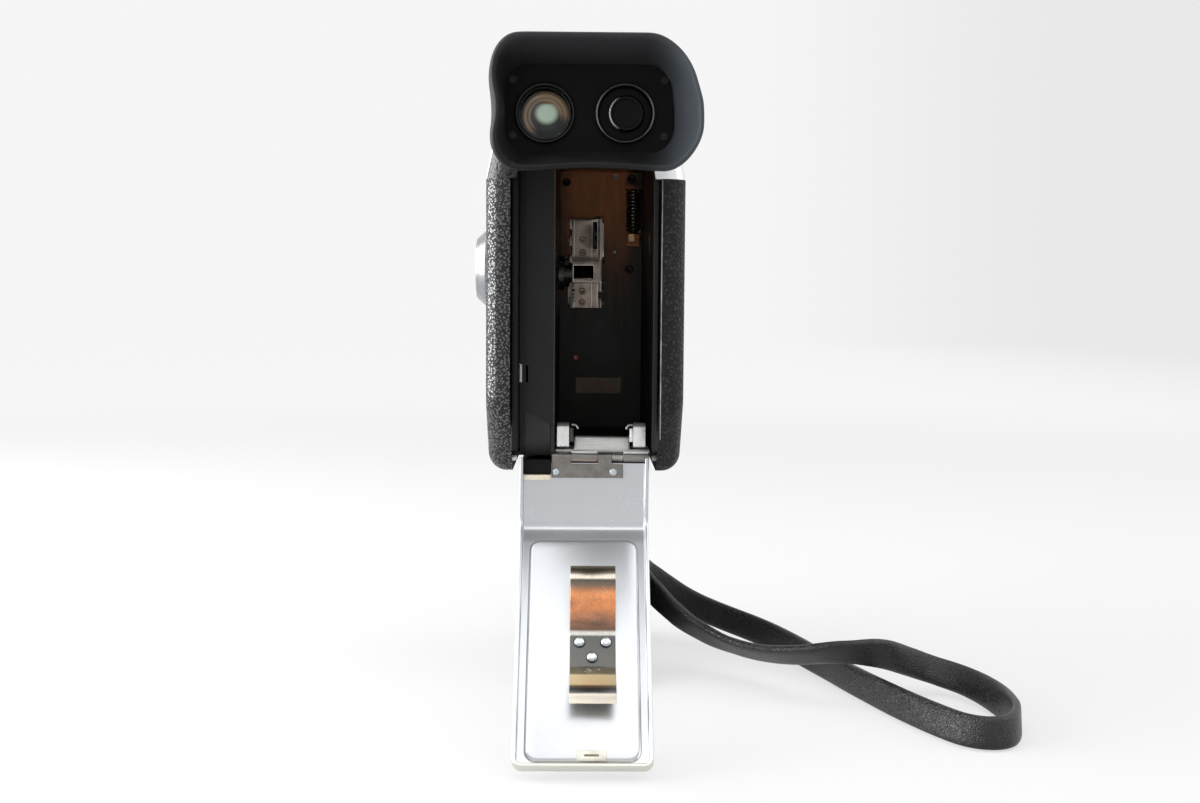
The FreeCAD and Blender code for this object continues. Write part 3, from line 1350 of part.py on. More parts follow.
def trigger():
    """The curved release at the front of the grip, its spring and its switch."""
    body = new_body("trigger", y="grip_front - 3", z="trigger_floor")
    half = "trigger_width / 2"
    pad(body, "x", f"-{half}", "trigger_width",
        (polygon, ("-5", "0"), ("4.6", "0"), ("6.4", "2.6"), ("4.4", "7"), ("5.4", "11"),
         ("7.2", "trigger_height"), ("-5", "trigger_height")))
    document.recompute()
    rounded_edges(body, "1.4", lambda e: e.BoundBox.YMin > 3.9
                  and (lies_at(e, "x", value(half)) or lies_at(e, "x", -value(half))))
    keep(body)
    rings = []
    for i in range(4):
        place = ("0", f"grip_front - 8.3 - ({i} + 0.5)", "trigger_floor + trigger_height / 2")
        rings.append(solid("Torus", f"trigger_coil_{i}", place, "y", Radius1="1.9", Radius2="0.52"))
    keep(joined("trigger_spring", rings))
    return keep(block("trigger_switch", ("-3.5", "grip_front - 16.4", "trigger_floor + 1"),
                      ("7", "4", "trigger_height - 2")))


def strap_clamp():
    """The plate on the right of the grip that holds both ends of the strap, and its stud."""
    place = {"x": "grip_half", "y": "clamp_side", "z": "clamp_height"}
    plate = new_body("strap_clamp", **place)
    pad(plate, "x", "0", "clamp_gauge",
        (rounded, "-clamp_width / 2", "clamp_width / 2", "-clamp_length / 2", "clamp_length / 2", "2"),
        (circle, "0", "0", "stud_radius"))
    keep(plate)
    stud = new_body("strap_stud", **place)
    pad(stud, "x", "0", "clamp_gauge", (circle, "0", "0", "stud_radius - 0.02"))
    pad(stud, "x", "clamp_gauge", "0.6", (circle, "0", "0", "3.6"))
    return keep(stud)


def strap_path():
    """Straight runs joined by tangent arcs along the route, and the radius of every arc."""
    spots = [VECTOR(*point) for point in STRAP_ROUTE]
    edges, radii, start = [], [], spots[0]
    for before, corner, after in zip(spots, spots[1:], spots[2:]):
        back, ahead = before - corner, after - corner
        setback = 0.45 * min(back.Length, ahead.Length)
        inward, outward = back.normalize(), ahead.normalize()
        first, last = corner + inward * setback, corner + outward * setback
        bisector = (inward + outward).normalize()
        nearness = bisector.dot(inward)
        radius = setback * (1 - nearness ** 2) ** 0.5 / nearness
        middle = corner + bisector * (setback / nearness - radius)
        edges.append(Part.LineSegment(start, first).toShape())
        edges.append(Part.Arc(first, middle, last).toShape())
        radii.append(radius)
        start = last
    edges.append(Part.LineSegment(start, spots[-1]).toShape())
    return Part.Wire(edges), radii


def wrist_strap():
    """The flat strap on its edge, swept along its route with its width upright."""
    path, radii = strap_path()
    high, thick = value("strap_width") / 2, value("strap_gauge") / 2
    start = path.Edges[0]
    forward = start.tangentAt(start.FirstParameter)
    upward = VECTOR(0, 0, 1)
    across = forward.cross(upward).normalize()
    corners = [across * a * thick + upward * b * high for a, b in ((-1, -1), (1, -1), (1, 1), (-1, 1))]
    origin = VECTOR(*STRAP_ROUTE[0])
    profile = Part.makePolygon([origin + c for c in corners] + [origin + corners[0]])
    sweep = Part.BRepOffsetAPI.MakePipeShell(path)
    sweep.setBiNormalMode(upward)
    sweep.add(profile)
    sweep.build()
    sweep.makeSolid()
    strap = document.addObject("Part::Feature", "wrist_strap")
    strap.Label = "wrist_strap"
    strap.Shape = sweep.shape()
    share = strap.Shape.Volume / (4 * high * thick * path.Length)
    print(f"strap: length {path.Length:.1f}, volume share {share:.3f}")
    print("strap radii", [round(radius, 1) for radius in radii])
    return keep(strap)


side_cover("left_cover", -1)
side_cover("right_cover", 1)
top_cover()
front_plate()
bottom_plate()
film_chamber()
rear_panel()
gate_plate()
chamber_screws()
film_label()
film_claw()
takeup_spindle()
gear("takeup_gear", "-spindle_rear", "spindle_height", "takeup_pitch", "takeup_teeth",
     "spindle_radius")
gear("drive_gear", "-drive_rear", "spindle_height", "drive_pitch", "drive_teeth",
     "shaft_radius + running_gap", True)
worm_shaft()
drive_motor()
shutter_disc()
speed_feeler()
hinge_bracket()
hinge_clips()
hinge_pin()
hinge_spring()
door()
hinge_leaf()
leg_strip("light_trap", "-1.9", "leaf_length - 1", "1.3")
leg_strip("trap_lip", "leaf_length - 0.9", "leaf_length + 0.8", "1.1")
pressure_spring()
door_rivets()
door_keeper()
door_latch()
eyepiece_housing()
eyepiece_plate()
plate_screws()
eyecup()
ocular()
eyepiece_dial()
finder_tube()
lens_barrel()
zoom_ring()
focus_ring()
side_dial()
cartridge_window()
grip_shell("grip_left", -1)
grip_shell("grip_right", 1)
grip_foot()
tripod_bush()
battery_cells()
battery_cover()
trigger()
strap_clamp()
wrist_strap()

document.recompute()
for thing in document.Objects:
    if {"Invalid", "Error"} & set(thing.State):
        raise ValueError(f"{thing.Label} failed: {thing.State}")
os.makedirs("parts", exist_ok=True)
for part in parts:
    if part.Shape.isNull() or not part.Shape.isValid():
        raise ValueError(f"{part.Label} has no valid shape")
    part.Shape.exportStep(f"parts/{part.Label}.step")
print(len(parts), "sub-parts written")
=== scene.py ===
"""A cartridge movie camera that stands on its grip, its film door hanging open and its strap on the floor."""
import bpy
from math import atan2, cos, pi, radians, sin, sqrt
from mathutils import Matrix, Vector


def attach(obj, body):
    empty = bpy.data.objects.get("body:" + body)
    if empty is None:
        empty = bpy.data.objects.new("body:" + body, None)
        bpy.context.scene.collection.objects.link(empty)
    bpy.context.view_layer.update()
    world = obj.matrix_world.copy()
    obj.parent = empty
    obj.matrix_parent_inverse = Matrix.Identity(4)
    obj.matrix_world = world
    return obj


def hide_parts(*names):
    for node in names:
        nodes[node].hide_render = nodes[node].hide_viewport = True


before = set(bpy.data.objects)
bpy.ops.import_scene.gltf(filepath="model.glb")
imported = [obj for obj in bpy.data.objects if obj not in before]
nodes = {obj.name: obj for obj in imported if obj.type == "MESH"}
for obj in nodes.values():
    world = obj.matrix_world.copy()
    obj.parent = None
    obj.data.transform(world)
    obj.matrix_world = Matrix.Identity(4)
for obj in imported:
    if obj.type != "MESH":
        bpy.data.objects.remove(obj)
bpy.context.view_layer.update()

# The viewpoint: level with the gate, straight behind the open chamber, a little downwards.
bpy.ops.object.camera_add(location=(-0.0007, -0.4525, 0.115))
view = bpy.context.object
view.matrix_world = (Matrix.Translation(view.location) @ Matrix.Rotation(radians(-0.74), 4, "Z")
                     @ Matrix.Rotation(radians(86), 4, "X") @ Matrix.Rotation(radians(0.4), 4, "Z"))
view.data.lens = 42
view.data.sensor_width = 36
view.data.clip_start = 0.01
bpy.context.scene.camera = view

# Wrist strap. A flat band of black grained vinyl round a soft core, its edges rolled over, both ends held by
# the clamp on the grip. It leaves the clamp on its edge, crosses itself once and lies in a loop on the floor.
STRAP_WIDTH, STRAP_THICKNESS = 0.0086, 0.0028
# Each point of its route has the strap's lean there, in degrees from upright.
STRAP_ROUTE = [
    ((0.0189, -0.00138, 0.0279), 0),
    ((0.0204, -0.0085, 0.0256), 8),
    ((0.0258, -0.0130, 0.0200), 20),
    ((0.0335, -0.0180, 0.0142), 35),
    ((0.0435, -0.0255, 0.0104), 48),
    ((0.0535, -0.0365, 0.0098), 52),
    ((0.0625, -0.0490, 0.0124), 50),
    ((0.0725, -0.0570, 0.0155), 34),
    ((0.0855, -0.0565, 0.0155), 8),
    ((0.0955, -0.0475, 0.0106), -14),
    ((0.1045, -0.0435, 0.0068), -34),
    ((0.1126, -0.0490, 0.0052), -38),
    ((0.1170, -0.0610, 0.0045), -26),
    ((0.1178, -0.0780, 0.0045), -8),
    ((0.1150, -0.0910, 0.0045), 6),
    ((0.1090, -0.0980, 0.0045), 14),
    ((0.1006, -0.0964, 0.0045), 20),
    ((0.0942, -0.0845, 0.0045), 20),
    ((0.0875, -0.0685, 0.0045), 16),
    ((0.0800, -0.0465, 0.0045), 8),
    ((0.0735, -0.0255, 0.0045), 0),
    ((0.0665, -0.0080, 0.0056), 8),
    ((0.0580, 0.0045, 0.0074), 14),
    ((0.0470, 0.0135, 0.0098), 14),
    ((0.0360, 0.0185, 0.0136), 8),
    ((0.0270, 0.0198, 0.0194), 6),
    ((0.0206, 0.0166, 0.0246), 0),
    ((0.0189, 0.0094, 0.0284), 0),
]


class Wire:
    """A value or colour inside a material. Sums and products of wires add the nodes that work them out."""

    def __init__(self, tree, socket):
        self.tree = tree
        self.socket = socket

    def node(self, kind, settings, values, out=0):
        """Adds a node, sets it up, then gives its inputs values or wires."""
        node = self.tree.nodes.new("ShaderNode" + kind)
        for name, setting in settings.items():
            if name == "stops":
                ramp = node.color_ramp
                while len(ramp.elements) < len(setting):
                    ramp.elements.new(1)
                for element, (place, shade) in zip(ramp.elements, setting):
                    element.position = place
                    element.color = (*shade, 1) if isinstance(shade, tuple) else (shade, shade, shade, 1)
            else:
                setattr(node, name, setting)
        for name, given in values.items():
            if isinstance(given, Wire):
                self.tree.links.new(given.socket, node.inputs[name])
            else:
                node.inputs[name].default_value = given
        return Wire(self.tree, node.outputs[out])

    def maths(self, operation, first, second):
        return self.node("Math", {"operation": operation}, {0: first, 1: second})

    def __add__(self, other):
        return self.maths("ADD", self, other)

    __radd__ = __add__

    def __mul__(self, other):
        return self.maths("MULTIPLY", self, other)

    __rmul__ = __mul__

    def __sub__(self, other):
        return self.maths("SUBTRACT", self, other)

    def __rsub__(self, other):
        return self.maths("SUBTRACT", other, self)

    def between(self, low, high):
        """A mask that rises smoothly from 0 at low to 1 at high."""
        return self.node("MapRange", {"interpolation_type": "SMOOTHSTEP"}, {0: self, 1: low, 2: high})

    def noise(self, scale, detail=3, roughness=0.5, stretch=(1, 1, 1)):
        place = self if stretch == (1, 1, 1) else self.node("Mapping", {}, {0: self, 3: stretch})
        return place.node("TexNoise", {}, {"Vector": place, "Scale": scale, "Detail": detail,
                                           "Roughness": roughness})

    def cells(self, scale, feature="F1", out=0):
        return self.node("TexVoronoi", {"feature": feature}, {"Vector": self, "Scale": scale}, out)

    def either(self, other):
        """The greater of two masks."""
        return self.maths("MAXIMUM", self, other)

    def within(self, middle, reach, blur):
        """A mask of 1 up to a distance from a middle value, with a soft edge."""
        away = self.maths("ABSOLUTE", self - middle, 0)
        return away.between(reach + blur, reach - blur)

    def parts(self):
        """The X, Y and Z of a place."""
        split = self.tree.nodes.new("ShaderNodeSeparateXYZ")
        self.tree.links.new(self.socket, split.inputs[0])
        return [Wire(self.tree, socket) for socket in split.outputs]

    def mix(self, first, second):
        """The first colour where this mask is 0 and the second where it is 1."""
        colours = {6: first, 7: second}
        given = {i: c if isinstance(c, Wire) else (*c, 1) for i, c in colours.items()}
        return self.node("Mix", {"data_type": "RGBA"}, {0: self, **given}, 2)


def new_finish(name):
    """A bare material, and the place on the object that its patterns follow."""
    material = bpy.data.materials.new(name)
    material.use_nodes = True
    tree = material.node_tree
    tree.nodes.clear()
    place = tree.nodes.new("ShaderNodeTexCoord")
    return material, Wire(tree, place.outputs["Object"])


def surface(place, height=None, depth=0.0, **values):
    """Closes a material with its surface. Height is what stands out on it, and depth how far, in metres."""
    tree = place.tree
    named = {name.replace("_", " "): given for name, given in values.items()}
    named = {name: (*given, 1) if isinstance(given, tuple) else given for name, given in named.items()}
    if height is not None:
        named["Normal"] = place.node("Bump", {}, {"Height": height, "Distance": depth, "Strength": 1.0})
    shader = place.node("BsdfPrincipled", {}, named)
    output = tree.nodes.new("ShaderNodeOutputMaterial")
    tree.links.new(shader.socket, output.inputs[0])


def coat(name, *node_names):
    """Puts a finish on carried-over nodes."""
    for node_name in node_names:
        for slot in nodes[node_name].material_slots:
            slot.material = name


def strap_line(route):
    """The strap's centreline, from a smooth spline with the route as its control points."""
    curve = bpy.data.curves.new("strap_line", "CURVE")
    curve.dimensions = "3D"
    spline = curve.splines.new("NURBS")
    spline.points.add(len(route) - 1)
    for point, (place, _) in zip(spline.points, route):
        point.co = (*place, 1)
    spline.order_u = 3
    spline.use_endpoint_u = True
    spline.resolution_u = 14
    guide = bpy.data.objects.new("strap_line", curve)
    bpy.context.scene.collection.objects.link(guide)
    line = bpy.data.meshes.new_from_object(guide)
    places = [vertex.co.copy() for vertex in line.vertices]
    bpy.data.objects.remove(guide)
    return places


def lean_at(share):
    """The strap's lean at a share of its length, smoothly between its route's points."""
    step = share * (len(STRAP_ROUTE) - 1)
    index = min(int(step), len(STRAP_ROUTE) - 2)
    part = step - index
    smooth = part * part * (3 - 2 * part)
    return STRAP_ROUTE[index][1] * (1 - smooth) + STRAP_ROUTE[index + 1][1] * smooth


def strap_section(sides=20):
    """The band's outline: nearly flat faces between two rolled edges, as (across, up) pairs."""
    half, roll = STRAP_WIDTH / 2, STRAP_THICKNESS / 2
    outline = []
    for i in range(sides):
        turn = 2 * pi * (i + 0.5) / sides
        across, up = cos(turn), sin(turn)
        outline.append((roll * abs(across) ** 0.75 * (1 if across > 0 else -1),
                        half * abs(up) ** 0.38 * (1 if up > 0 else -1)))
    return outline


strap_places = strap_line(STRAP_ROUTE)
strap_outline = strap_section()
strap_corners = []
for i, place in enumerate(strap_places):
    before = strap_places[max(i - 1, 0)]
    after = strap_places[min(i + 1, len(strap_places) - 1)]
    forward = (after - before).normalized()
    across = forward.cross(Vector((0, 0, 1))).normalized()
    upward = across.cross(forward).normalized()
    lean = Matrix.Rotation(radians(lean_at(i / (len(strap_places) - 1))), 3, forward)
    for a, b in strap_outline:
        strap_corners.append(place + lean @ (across * a + upward * b))
count = len(strap_outline)
strap_faces = []
for i in range(len(strap_places) - 1):
    for side in range(count):
        following = (side + 1) % count
        strap_faces.append((i * count + side, i * count + following,
                            (i + 1) * count + following, (i + 1) * count + side))
last = (len(strap_places) - 1) * count
strap_faces.append(tuple(reversed(range(count))))
strap_faces.append(tuple(range(last, last + count)))
strap_mesh = bpy.data.meshes.new("wrist_strap_band")
strap_mesh.from_pydata(strap_corners, [], strap_faces)
strap_mesh.update()
strap = bpy.data.objects.new("wrist_strap_band", strap_mesh)
bpy.context.scene.collection.objects.link(strap)
for polygon in strap_mesh.polygons:
    polygon.use_smooth = True

strap_vinyl, place = new_finish("strap_vinyl")
grain = place.cells(1500, "DISTANCE_TO_EDGE").between(0.0, 0.35)
cloud = place.noise(90, 4)
handling = place.noise(420, 4, 0.65).between(0.55, 0.8)
tone = (cloud * 0.6 + handling * 0.3).mix((0.0050, 0.0050, 0.0055), (0.0115, 0.0118, 0.0125))
surface(place, grain, 0.00009, Base_Color=tone, Roughness=cloud * 0.16 + 0.26, Specular_IOR_Level=0.42)
strap_mesh.materials.append(strap_vinyl)
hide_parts("wrist_strap")
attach(strap, "camera")

# Film door. One sheet of aluminium alloy under fine silver lacquer, pressed with a short leg, a joggle at the
# bend and turned-in sides. Its inner panel is embossed. It swings on the hinge at its top and hangs open.
HINGE, DOOR_ANGLE = (0, -0.08, 0.074), radians(142)
DOOR_OPEN = Matrix.Translation(HINGE) @ Matrix.Rotation(DOOR_ANGLE, 4, "X")
DOOR_HALF, DOOR_END = 0.0162, 0.0809
# The inner face from the hinge to the tip, as (depth, reach) with the door closed.
DOOR_LINE = [(-0.00091, 0.00107), (-0.01050, 0.01345), (-0.01088, 0.01392), (-0.01120, 0.01450),
             (-0.01142, 0.01530), (-0.01144, 0.01600), (-0.01136, 0.01740), (-0.01126, 0.01880), (-0.01120, 0.02000),
             (-0.01120, DOOR_END)]


def add(kind, name, stretch=(1, 1, 1), **values):
    """Adds a primitive by itself, with its place, turn and stretch put into its mesh."""
    bpy.ops.object.select_all(action="DESELECT")
    getattr(bpy.ops.mesh, f"primitive_{kind}_add")(**values)
    piece = bpy.context.object
    piece.scale = stretch
    piece.name = name
    bpy.ops.object.transform_apply(location=True, rotation=True, scale=True)
    return piece


def pick(piece, kind, test):
    """Selects the corners, edges or faces whose middle and direction pass a test."""
    bpy.ops.object.mode_set(mode="EDIT")
    bpy.ops.mesh.select_mode(type=kind)
    bpy.ops.mesh.select_all(action="DESELECT")
    bpy.ops.object.mode_set(mode="OBJECT")
    mesh = piece.data
    if kind == "VERT":
        for corner in mesh.vertices:
            corner.select = test(corner.co, corner.normal)
    elif kind == "EDGE":
        for edge in mesh.edges:
            first, second = (mesh.vertices[i].co for i in edge.vertices)
            edge.select = test((first + second) / 2, (second - first).normalized())
    else:
        for face in mesh.polygons:
            face.select = test(face.center, face.normal)
    bpy.ops.object.mode_set(mode="EDIT")


def push(x=0.0, y=0.0, z=0.0):
    """Extrudes what is selected by a step."""
    bpy.ops.mesh.extrude_region_move(TRANSFORM_OT_translate={"value": (x, y, z)})


def bent_sheet(name, left, right, line):
    """A strip between two sides that follows a line of (y, z) places, extruded run by run."""
    first, second = Vector(line[0]), Vector(line[1])
    run, middle = second - first, (first + second) / 2
    strip = add("plane", name, ((right - left) / run.length, 1, 1), size=run.length,
                location=((left + right) / 2, middle.x, middle.y), rotation=(atan2(run.y, run.x), 0, 0))
    end = Vector(((left + right) / 2, second.x, second.y))
    pick(strip, "EDGE", lambda place, along: (place - end).length < 1e-6)
    for here, there in zip(line[1:], line[2:]):
        push(y=there[0] - here[0], z=there[1] - here[1])
    bpy.ops.object.mode_set(mode="OBJECT")
    return strip


def apply_modifier(piece, kind, **settings):
    """Adds a modifier, sets it up and applies it."""
    if bpy.context.object.mode != "OBJECT":
        bpy.ops.object.mode_set(mode="OBJECT")
    modifier = piece.modifiers.new(kind.lower(), kind)
    for name, setting in settings.items():
        setattr(modifier, name, setting)
    bpy.ops.object.modifier_apply(modifier=modifier.name)


def thicken(piece, gauge, side=1):
    """Gives a sheet its gauge, on the side that its faces point to, or on the other for -1."""
    apply_modifier(piece, "SOLIDIFY", thickness=gauge, offset=side, use_even_offset=True)


def soften(piece, width, segments=3, angle=30):
    """Rounds every edge that is sharper than an angle."""
    apply_modifier(piece, "BEVEL", width=width, segments=segments, limit_method="ANGLE",
                   angle_limit=radians(angle))


def turn_outwards(piece):
    """Makes the faces of a closed shape point out of it."""
    pick(piece, "FACE", lambda place, normal: True)
    bpy.ops.mesh.normals_make_consistent(inside=False)
    bpy.ops.object.mode_set(mode="OBJECT")


def deliver(piece, finish, body, stands_for=(), moved=None, angle=32):
    """Finishes a piece: its place in its mesh, faces outwards, smooth shading, finish and what carries it."""
    if bpy.context.object.mode != "OBJECT":
        bpy.ops.object.mode_set(mode="OBJECT")
    bpy.ops.object.select_all(action="DESELECT")
    piece.select_set(True)
    bpy.context.view_layer.objects.active = piece
    if moved:
        piece.matrix_world = moved
        bpy.ops.object.transform_apply(location=True, rotation=True, scale=True)
    turn_outwards(piece)
    bpy.ops.object.shade_smooth_by_angle(angle=radians(angle))
    piece.data.materials.clear()
    piece.data.materials.append(finish)
    if stands_for:
        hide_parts(*stands_for)
    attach(piece, body)


door_sheet = bent_sheet("door_sheet", -DOOR_HALF, DOOR_HALF, DOOR_LINE)
pick(door_sheet, "EDGE", lambda place, along: abs(abs(place.x) - DOOR_HALF) < 1e-6
     or abs(place.z - DOOR_END) < 1e-6)
push(y=0.0026)
pick(door_sheet, "EDGE", lambda place, along: abs(along.y) > 0.99 and abs(place.z - DOOR_END) < 1e-6)
bpy.ops.mesh.bevel(offset=0.0013, segments=4, affect="EDGES")
turn_outwards(door_sheet)
long_face = max(door_sheet.data.polygons, key=lambda face: face.area)
if long_face.normal.y > 0:
    pick(door_sheet, "FACE", lambda place, normal: True)
    bpy.ops.mesh.flip_normals()
thicken(door_sheet, 0.001)
soften(door_sheet, 0.0003)

door_panel = add("plane", "door_panel", (0.0288, 0.0610, 1), size=1, location=(0, -0.0112, 0.0496),
                 rotation=(radians(-90), 0, 0))
pick(door_panel, "VERT", lambda place, normal: True)
bpy.ops.mesh.bevel(offset=0.0031, segments=7, affect="VERTICES")
pick(door_panel, "FACE", lambda place, normal: True)
push(y=0.0008)
bpy.ops.transform.resize(value=(0.972, 1, 0.9865))
bpy.ops.mesh.bevel(offset=0.0006, segments=4, affect="EDGES")

silver_lacquer, place = new_finish("silver_lacquer")
closed = place.node("Mapping", {"vector_type": "TEXTURE"}, {0: place, 1: HINGE, 2: (DOOR_ANGLE, 0, 0)})
x, depth, reach = closed.parts()
cloud = place.noise(70, 4)
scuffs = closed.noise(260, 5, 0.62, (1, 1, 0.4)).between(0.60, 0.80)
dust = closed.cells(900).between(0.09, 0.04)
tone = (cloud * 0.5 + scuffs * 0.08).mix((0.565, 0.58, 0.60), (0.49, 0.505, 0.525))
# The lip at the door's tip is paler and yellower: a painted highlight.
tone = (reach.between(0.0803, 0.0808) * 0.7).mix(tone, (0.72, 0.72, 0.60))
tone = (dust * 0.4).mix(tone, (0.30, 0.30, 0.30))
surface(place, place.noise(2600, 2), 0.000012, Base_Color=tone, Metallic=0.88,
        Roughness=cloud * 0.10 + 0.24 + scuffs * 0.02, Specular_IOR_Level=0.5)
deliver(door_sheet, silver_lacquer, "door", ["film_door"], DOOR_OPEN)
deliver(door_panel, silver_lacquer, "door", (), DOOR_OPEN, 50)

# Pressure spring. Hardened steel strip under thin nickel, rolled at both ends, that presses the cartridge to the
# gate. Heat and handling have tinted it from copper to straw. Three dome rivets hold it to the door.
SPRING_LINE = [(0.0302, 0.0052), (0.0318, 0.0061), (0.0336, 0.0064), (0.0362, 0.0062), (0.0396, 0.0054),
               (0.0442, 0.0026), (0.0468, 0.0), (0.0560, 0.0), (0.0574, 0.0010), (0.0589, 0.0022),
               (0.0625, 0.0046), (0.0640, 0.0055), (0.0652, 0.0060), (0.0663, 0.0059), (0.0672, 0.0052)]
spring_leaf = bent_sheet("spring_leaf", -0.0034, 0.0082, [(rise - 0.0104, reach) for reach, rise in SPRING_LINE])
pick(spring_leaf, "EDGE", lambda place, along: abs(along.x) > 0.99 and 0.0303 < place.z < 0.0671)
bpy.ops.mesh.bevel(offset=0.0005, segments=3, affect="EDGES")
turn_outwards(spring_leaf)
flat = max(spring_leaf.data.polygons, key=lambda face: face.area)
thicken(spring_leaf, 0.0005, 1 if flat.normal.y > 0 else -1)
soften(spring_leaf, 0.00012, 2)

spring_steel, place = new_finish("spring_steel")
closed = place.node("Mapping", {"vector_type": "TEXTURE"}, {0: place, 1: HINGE, 2: (DOOR_ANGLE, 0, 0)})
x, depth, reach = closed.parts()
cloud = closed.noise(260, 4)
streaks = closed.noise(170, 5, 0.6, (0.7, 1, 1))
wander = (reach - 0.030 + (cloud - 0.5) * 0.0002) * (1 / 0.0375)
# These bands along the strip follow the photograph: copper and straw heat tints, and, at the rolls and the seat, pale
# and near-black stretches that are painted reflections on the nickel.
tint_and_reflection_bands = wander.node("ValToRGB", {"stops": [
    (0.00, (0.17, 0.15, 0.10)), (0.040, (0.13, 0.11, 0.075)), (0.066, (0.10, 0.08, 0.06)),
    (0.088, (0.66, 0.60, 0.50)), (0.108, (0.64, 0.57, 0.47)), (0.122, (0.05, 0.045, 0.04)),
    (0.165, (0.13, 0.09, 0.065)), (0.22, (0.84, 0.33, 0.13)), (0.30, (0.92, 0.35, 0.14)),
    (0.38, (0.46, 0.22, 0.13)), (0.428, (0.20, 0.115, 0.08)), (0.441, (0.92, 0.90, 0.82)),
    (0.453, (0.90, 0.88, 0.80)), (0.462, (0.085, 0.087, 0.085)), (0.685, (0.105, 0.105, 0.098)),
    (0.70, (0.26, 0.23, 0.165)), (0.752, (0.36, 0.31, 0.21)), (0.768, (0.66, 0.53, 0.31)),
    (0.86, (0.60, 0.47, 0.26)), (0.875, (0.30, 0.22, 0.13)), (0.90, (0.07, 0.07, 0.075)),
    (0.932, (0.09, 0.09, 0.095)), (0.945, (0.66, 0.60, 0.50)), (0.99, (0.95, 0.88, 0.74))]}, {0: wander})
heat = reach.between(0.0352, 0.0372) * reach.between(0.0462, 0.0450)
# Dark streaks over the heat-tinted stretch, heavier towards its lower left.
left_low = (x * -0.5 + reach).between(0.0385, 0.0450)
dark_streaks = (streaks.between(0.40, 0.70) * heat * (left_low * 0.75 + 0.2)).mix(tint_and_reflection_bands, (0.14, 0.085, 0.06))
rubs = (closed.cells(1100, "DISTANCE_TO_EDGE").between(0.06, 0.01) * cloud.between(0.52, 0.66) * heat * 0.5)
shade = rubs.mix(dark_streaks, (0.70, 0.55, 0.44))
dots = closed.cells(620).between(0.24, 0.12) * reach.between(0.0562, 0.0566) * reach.between(0.0588, 0.0584)
shade = dots.mix(shade, (0.85, 0.80, 0.66))
# Dark rings round the three rivet heads on the strip: painted shade.
for side, along in ((-0.00095, 0.0491), (0.00575, 0.0491), (0.0022, 0.0532)):
    flat_place = closed.node("CombineXYZ", {}, {0: x - side, 1: 0.0, 2: reach - along})
    away = flat_place.node("VectorMath", {"operation": "LENGTH"}, {0: flat_place}, 1)
    shade = (away.within(0.00145, 0.00012, 0.00006) * 0.8).mix(shade, (0.02, 0.02, 0.02))
grain = closed.noise(2400, 3, 0.6, (1, 1, 0.12))
straw = reach.within(0.0606, 0.0019, 0.0002).either(reach.between(0.0651, 0.0655))
rubbed = grain.between(0.3, 0.7) * (0.25 - straw * 0.2)
surface(place, grain, 0.00001, Base_Color=rubbed.mix(shade, (0.12, 0.11, 0.10)),
        Metallic=0.85 - straw * 0.6, Roughness=cloud * 0.18 + 0.22)
deliver(spring_leaf, spring_steel, "door", ["pressure_spring"], DOOR_OPEN, 50)

# Keeper. A small pale plated tab with a slot at the door's tip, spot-welded to the sheet. The latch's hook
# goes into the slot when the door is shut.
keeper_tab = add("cube", "keeper_tab", (0.0072, 0.0012, 0.0028), size=1, location=(0.0022, -0.0100, 0.0788))
pick(keeper_tab, "FACE", lambda place, normal: normal.y > 0.9)
bpy.ops.mesh.inset(thickness=0.0008)
bpy.ops.transform.resize(value=(0.62, 1, 0.42))
push(y=-0.0009)
soften(keeper_tab, 0.00015, 2)
pale_plate, place = new_finish("pale_plate")
cloud = place.noise(300, 4)
surface(place, place.noise(1800, 3), 0.00002, Metallic=0.5, Roughness=cloud * 0.2 + 0.25,
        Base_Color=cloud.between(0.35, 0.7).mix((0.66, 0.64, 0.57), (0.57, 0.54, 0.46)))
deliver(keeper_tab, pale_plate, "door", ["door_keeper"], DOOR_OPEN)

# Hinge leaf. Nickel-plated steel sheet fixed to the door's short leg by two bright domes, its top edge rolled
# round the pin at both ends and cut out for the bracket's middle knuckle.
leaf_sheet = bent_sheet("leaf_sheet", -0.00865, 0.01035, [(-0.0804, 0.06852), (-0.0804, 0.07220)])
for side in (-0.00355, 0.00365, 0.00735):
    pick(leaf_sheet, "FACE", lambda place, normal: True)
    bpy.ops.mesh.bisect(plane_co=(side, 0, 0), plane_no=(1, 0, 0))
pick(leaf_sheet, "EDGE", lambda place, along: abs(place.z - 0.0722) < 1e-6
     and (place.x < -0.0036 or 0.0037 < place.x < 0.0073))
for turn in range(9):
    angle = radians(196 - 30 * turn)
    here = (-0.0804, 0.0722) if turn == 0 else roll_place
    roll_place = (-0.0800 + 0.00090 * cos(angle), 0.0740 + 0.00090 * sin(angle))
    push(y=roll_place[0] - here[0], z=roll_place[1] - here[1])
turn_outwards(leaf_sheet)
thicken(leaf_sheet, 0.0005, 0)
soften(leaf_sheet, 0.0001, 2)
dome = add("uv_sphere", "leaf_dome", (1, 0.55, 1), segments=24, ring_count=12, radius=0.00105,
           location=(-0.00755, -0.08060, 0.0701))
pick(dome, "FACE", lambda place, normal: True)
bpy.ops.mesh.bisect(plane_co=(0, -0.0806, 0), plane_no=(0, 1, 0), clear_outer=True, use_fill=True)
bpy.ops.object.mode_set(mode="OBJECT")
bpy.ops.object.duplicate(linked=False)
second_dome = bpy.context.object
second_dome.location.x = 0.01535
bpy.ops.object.transform_apply(location=True, rotation=True, scale=True)

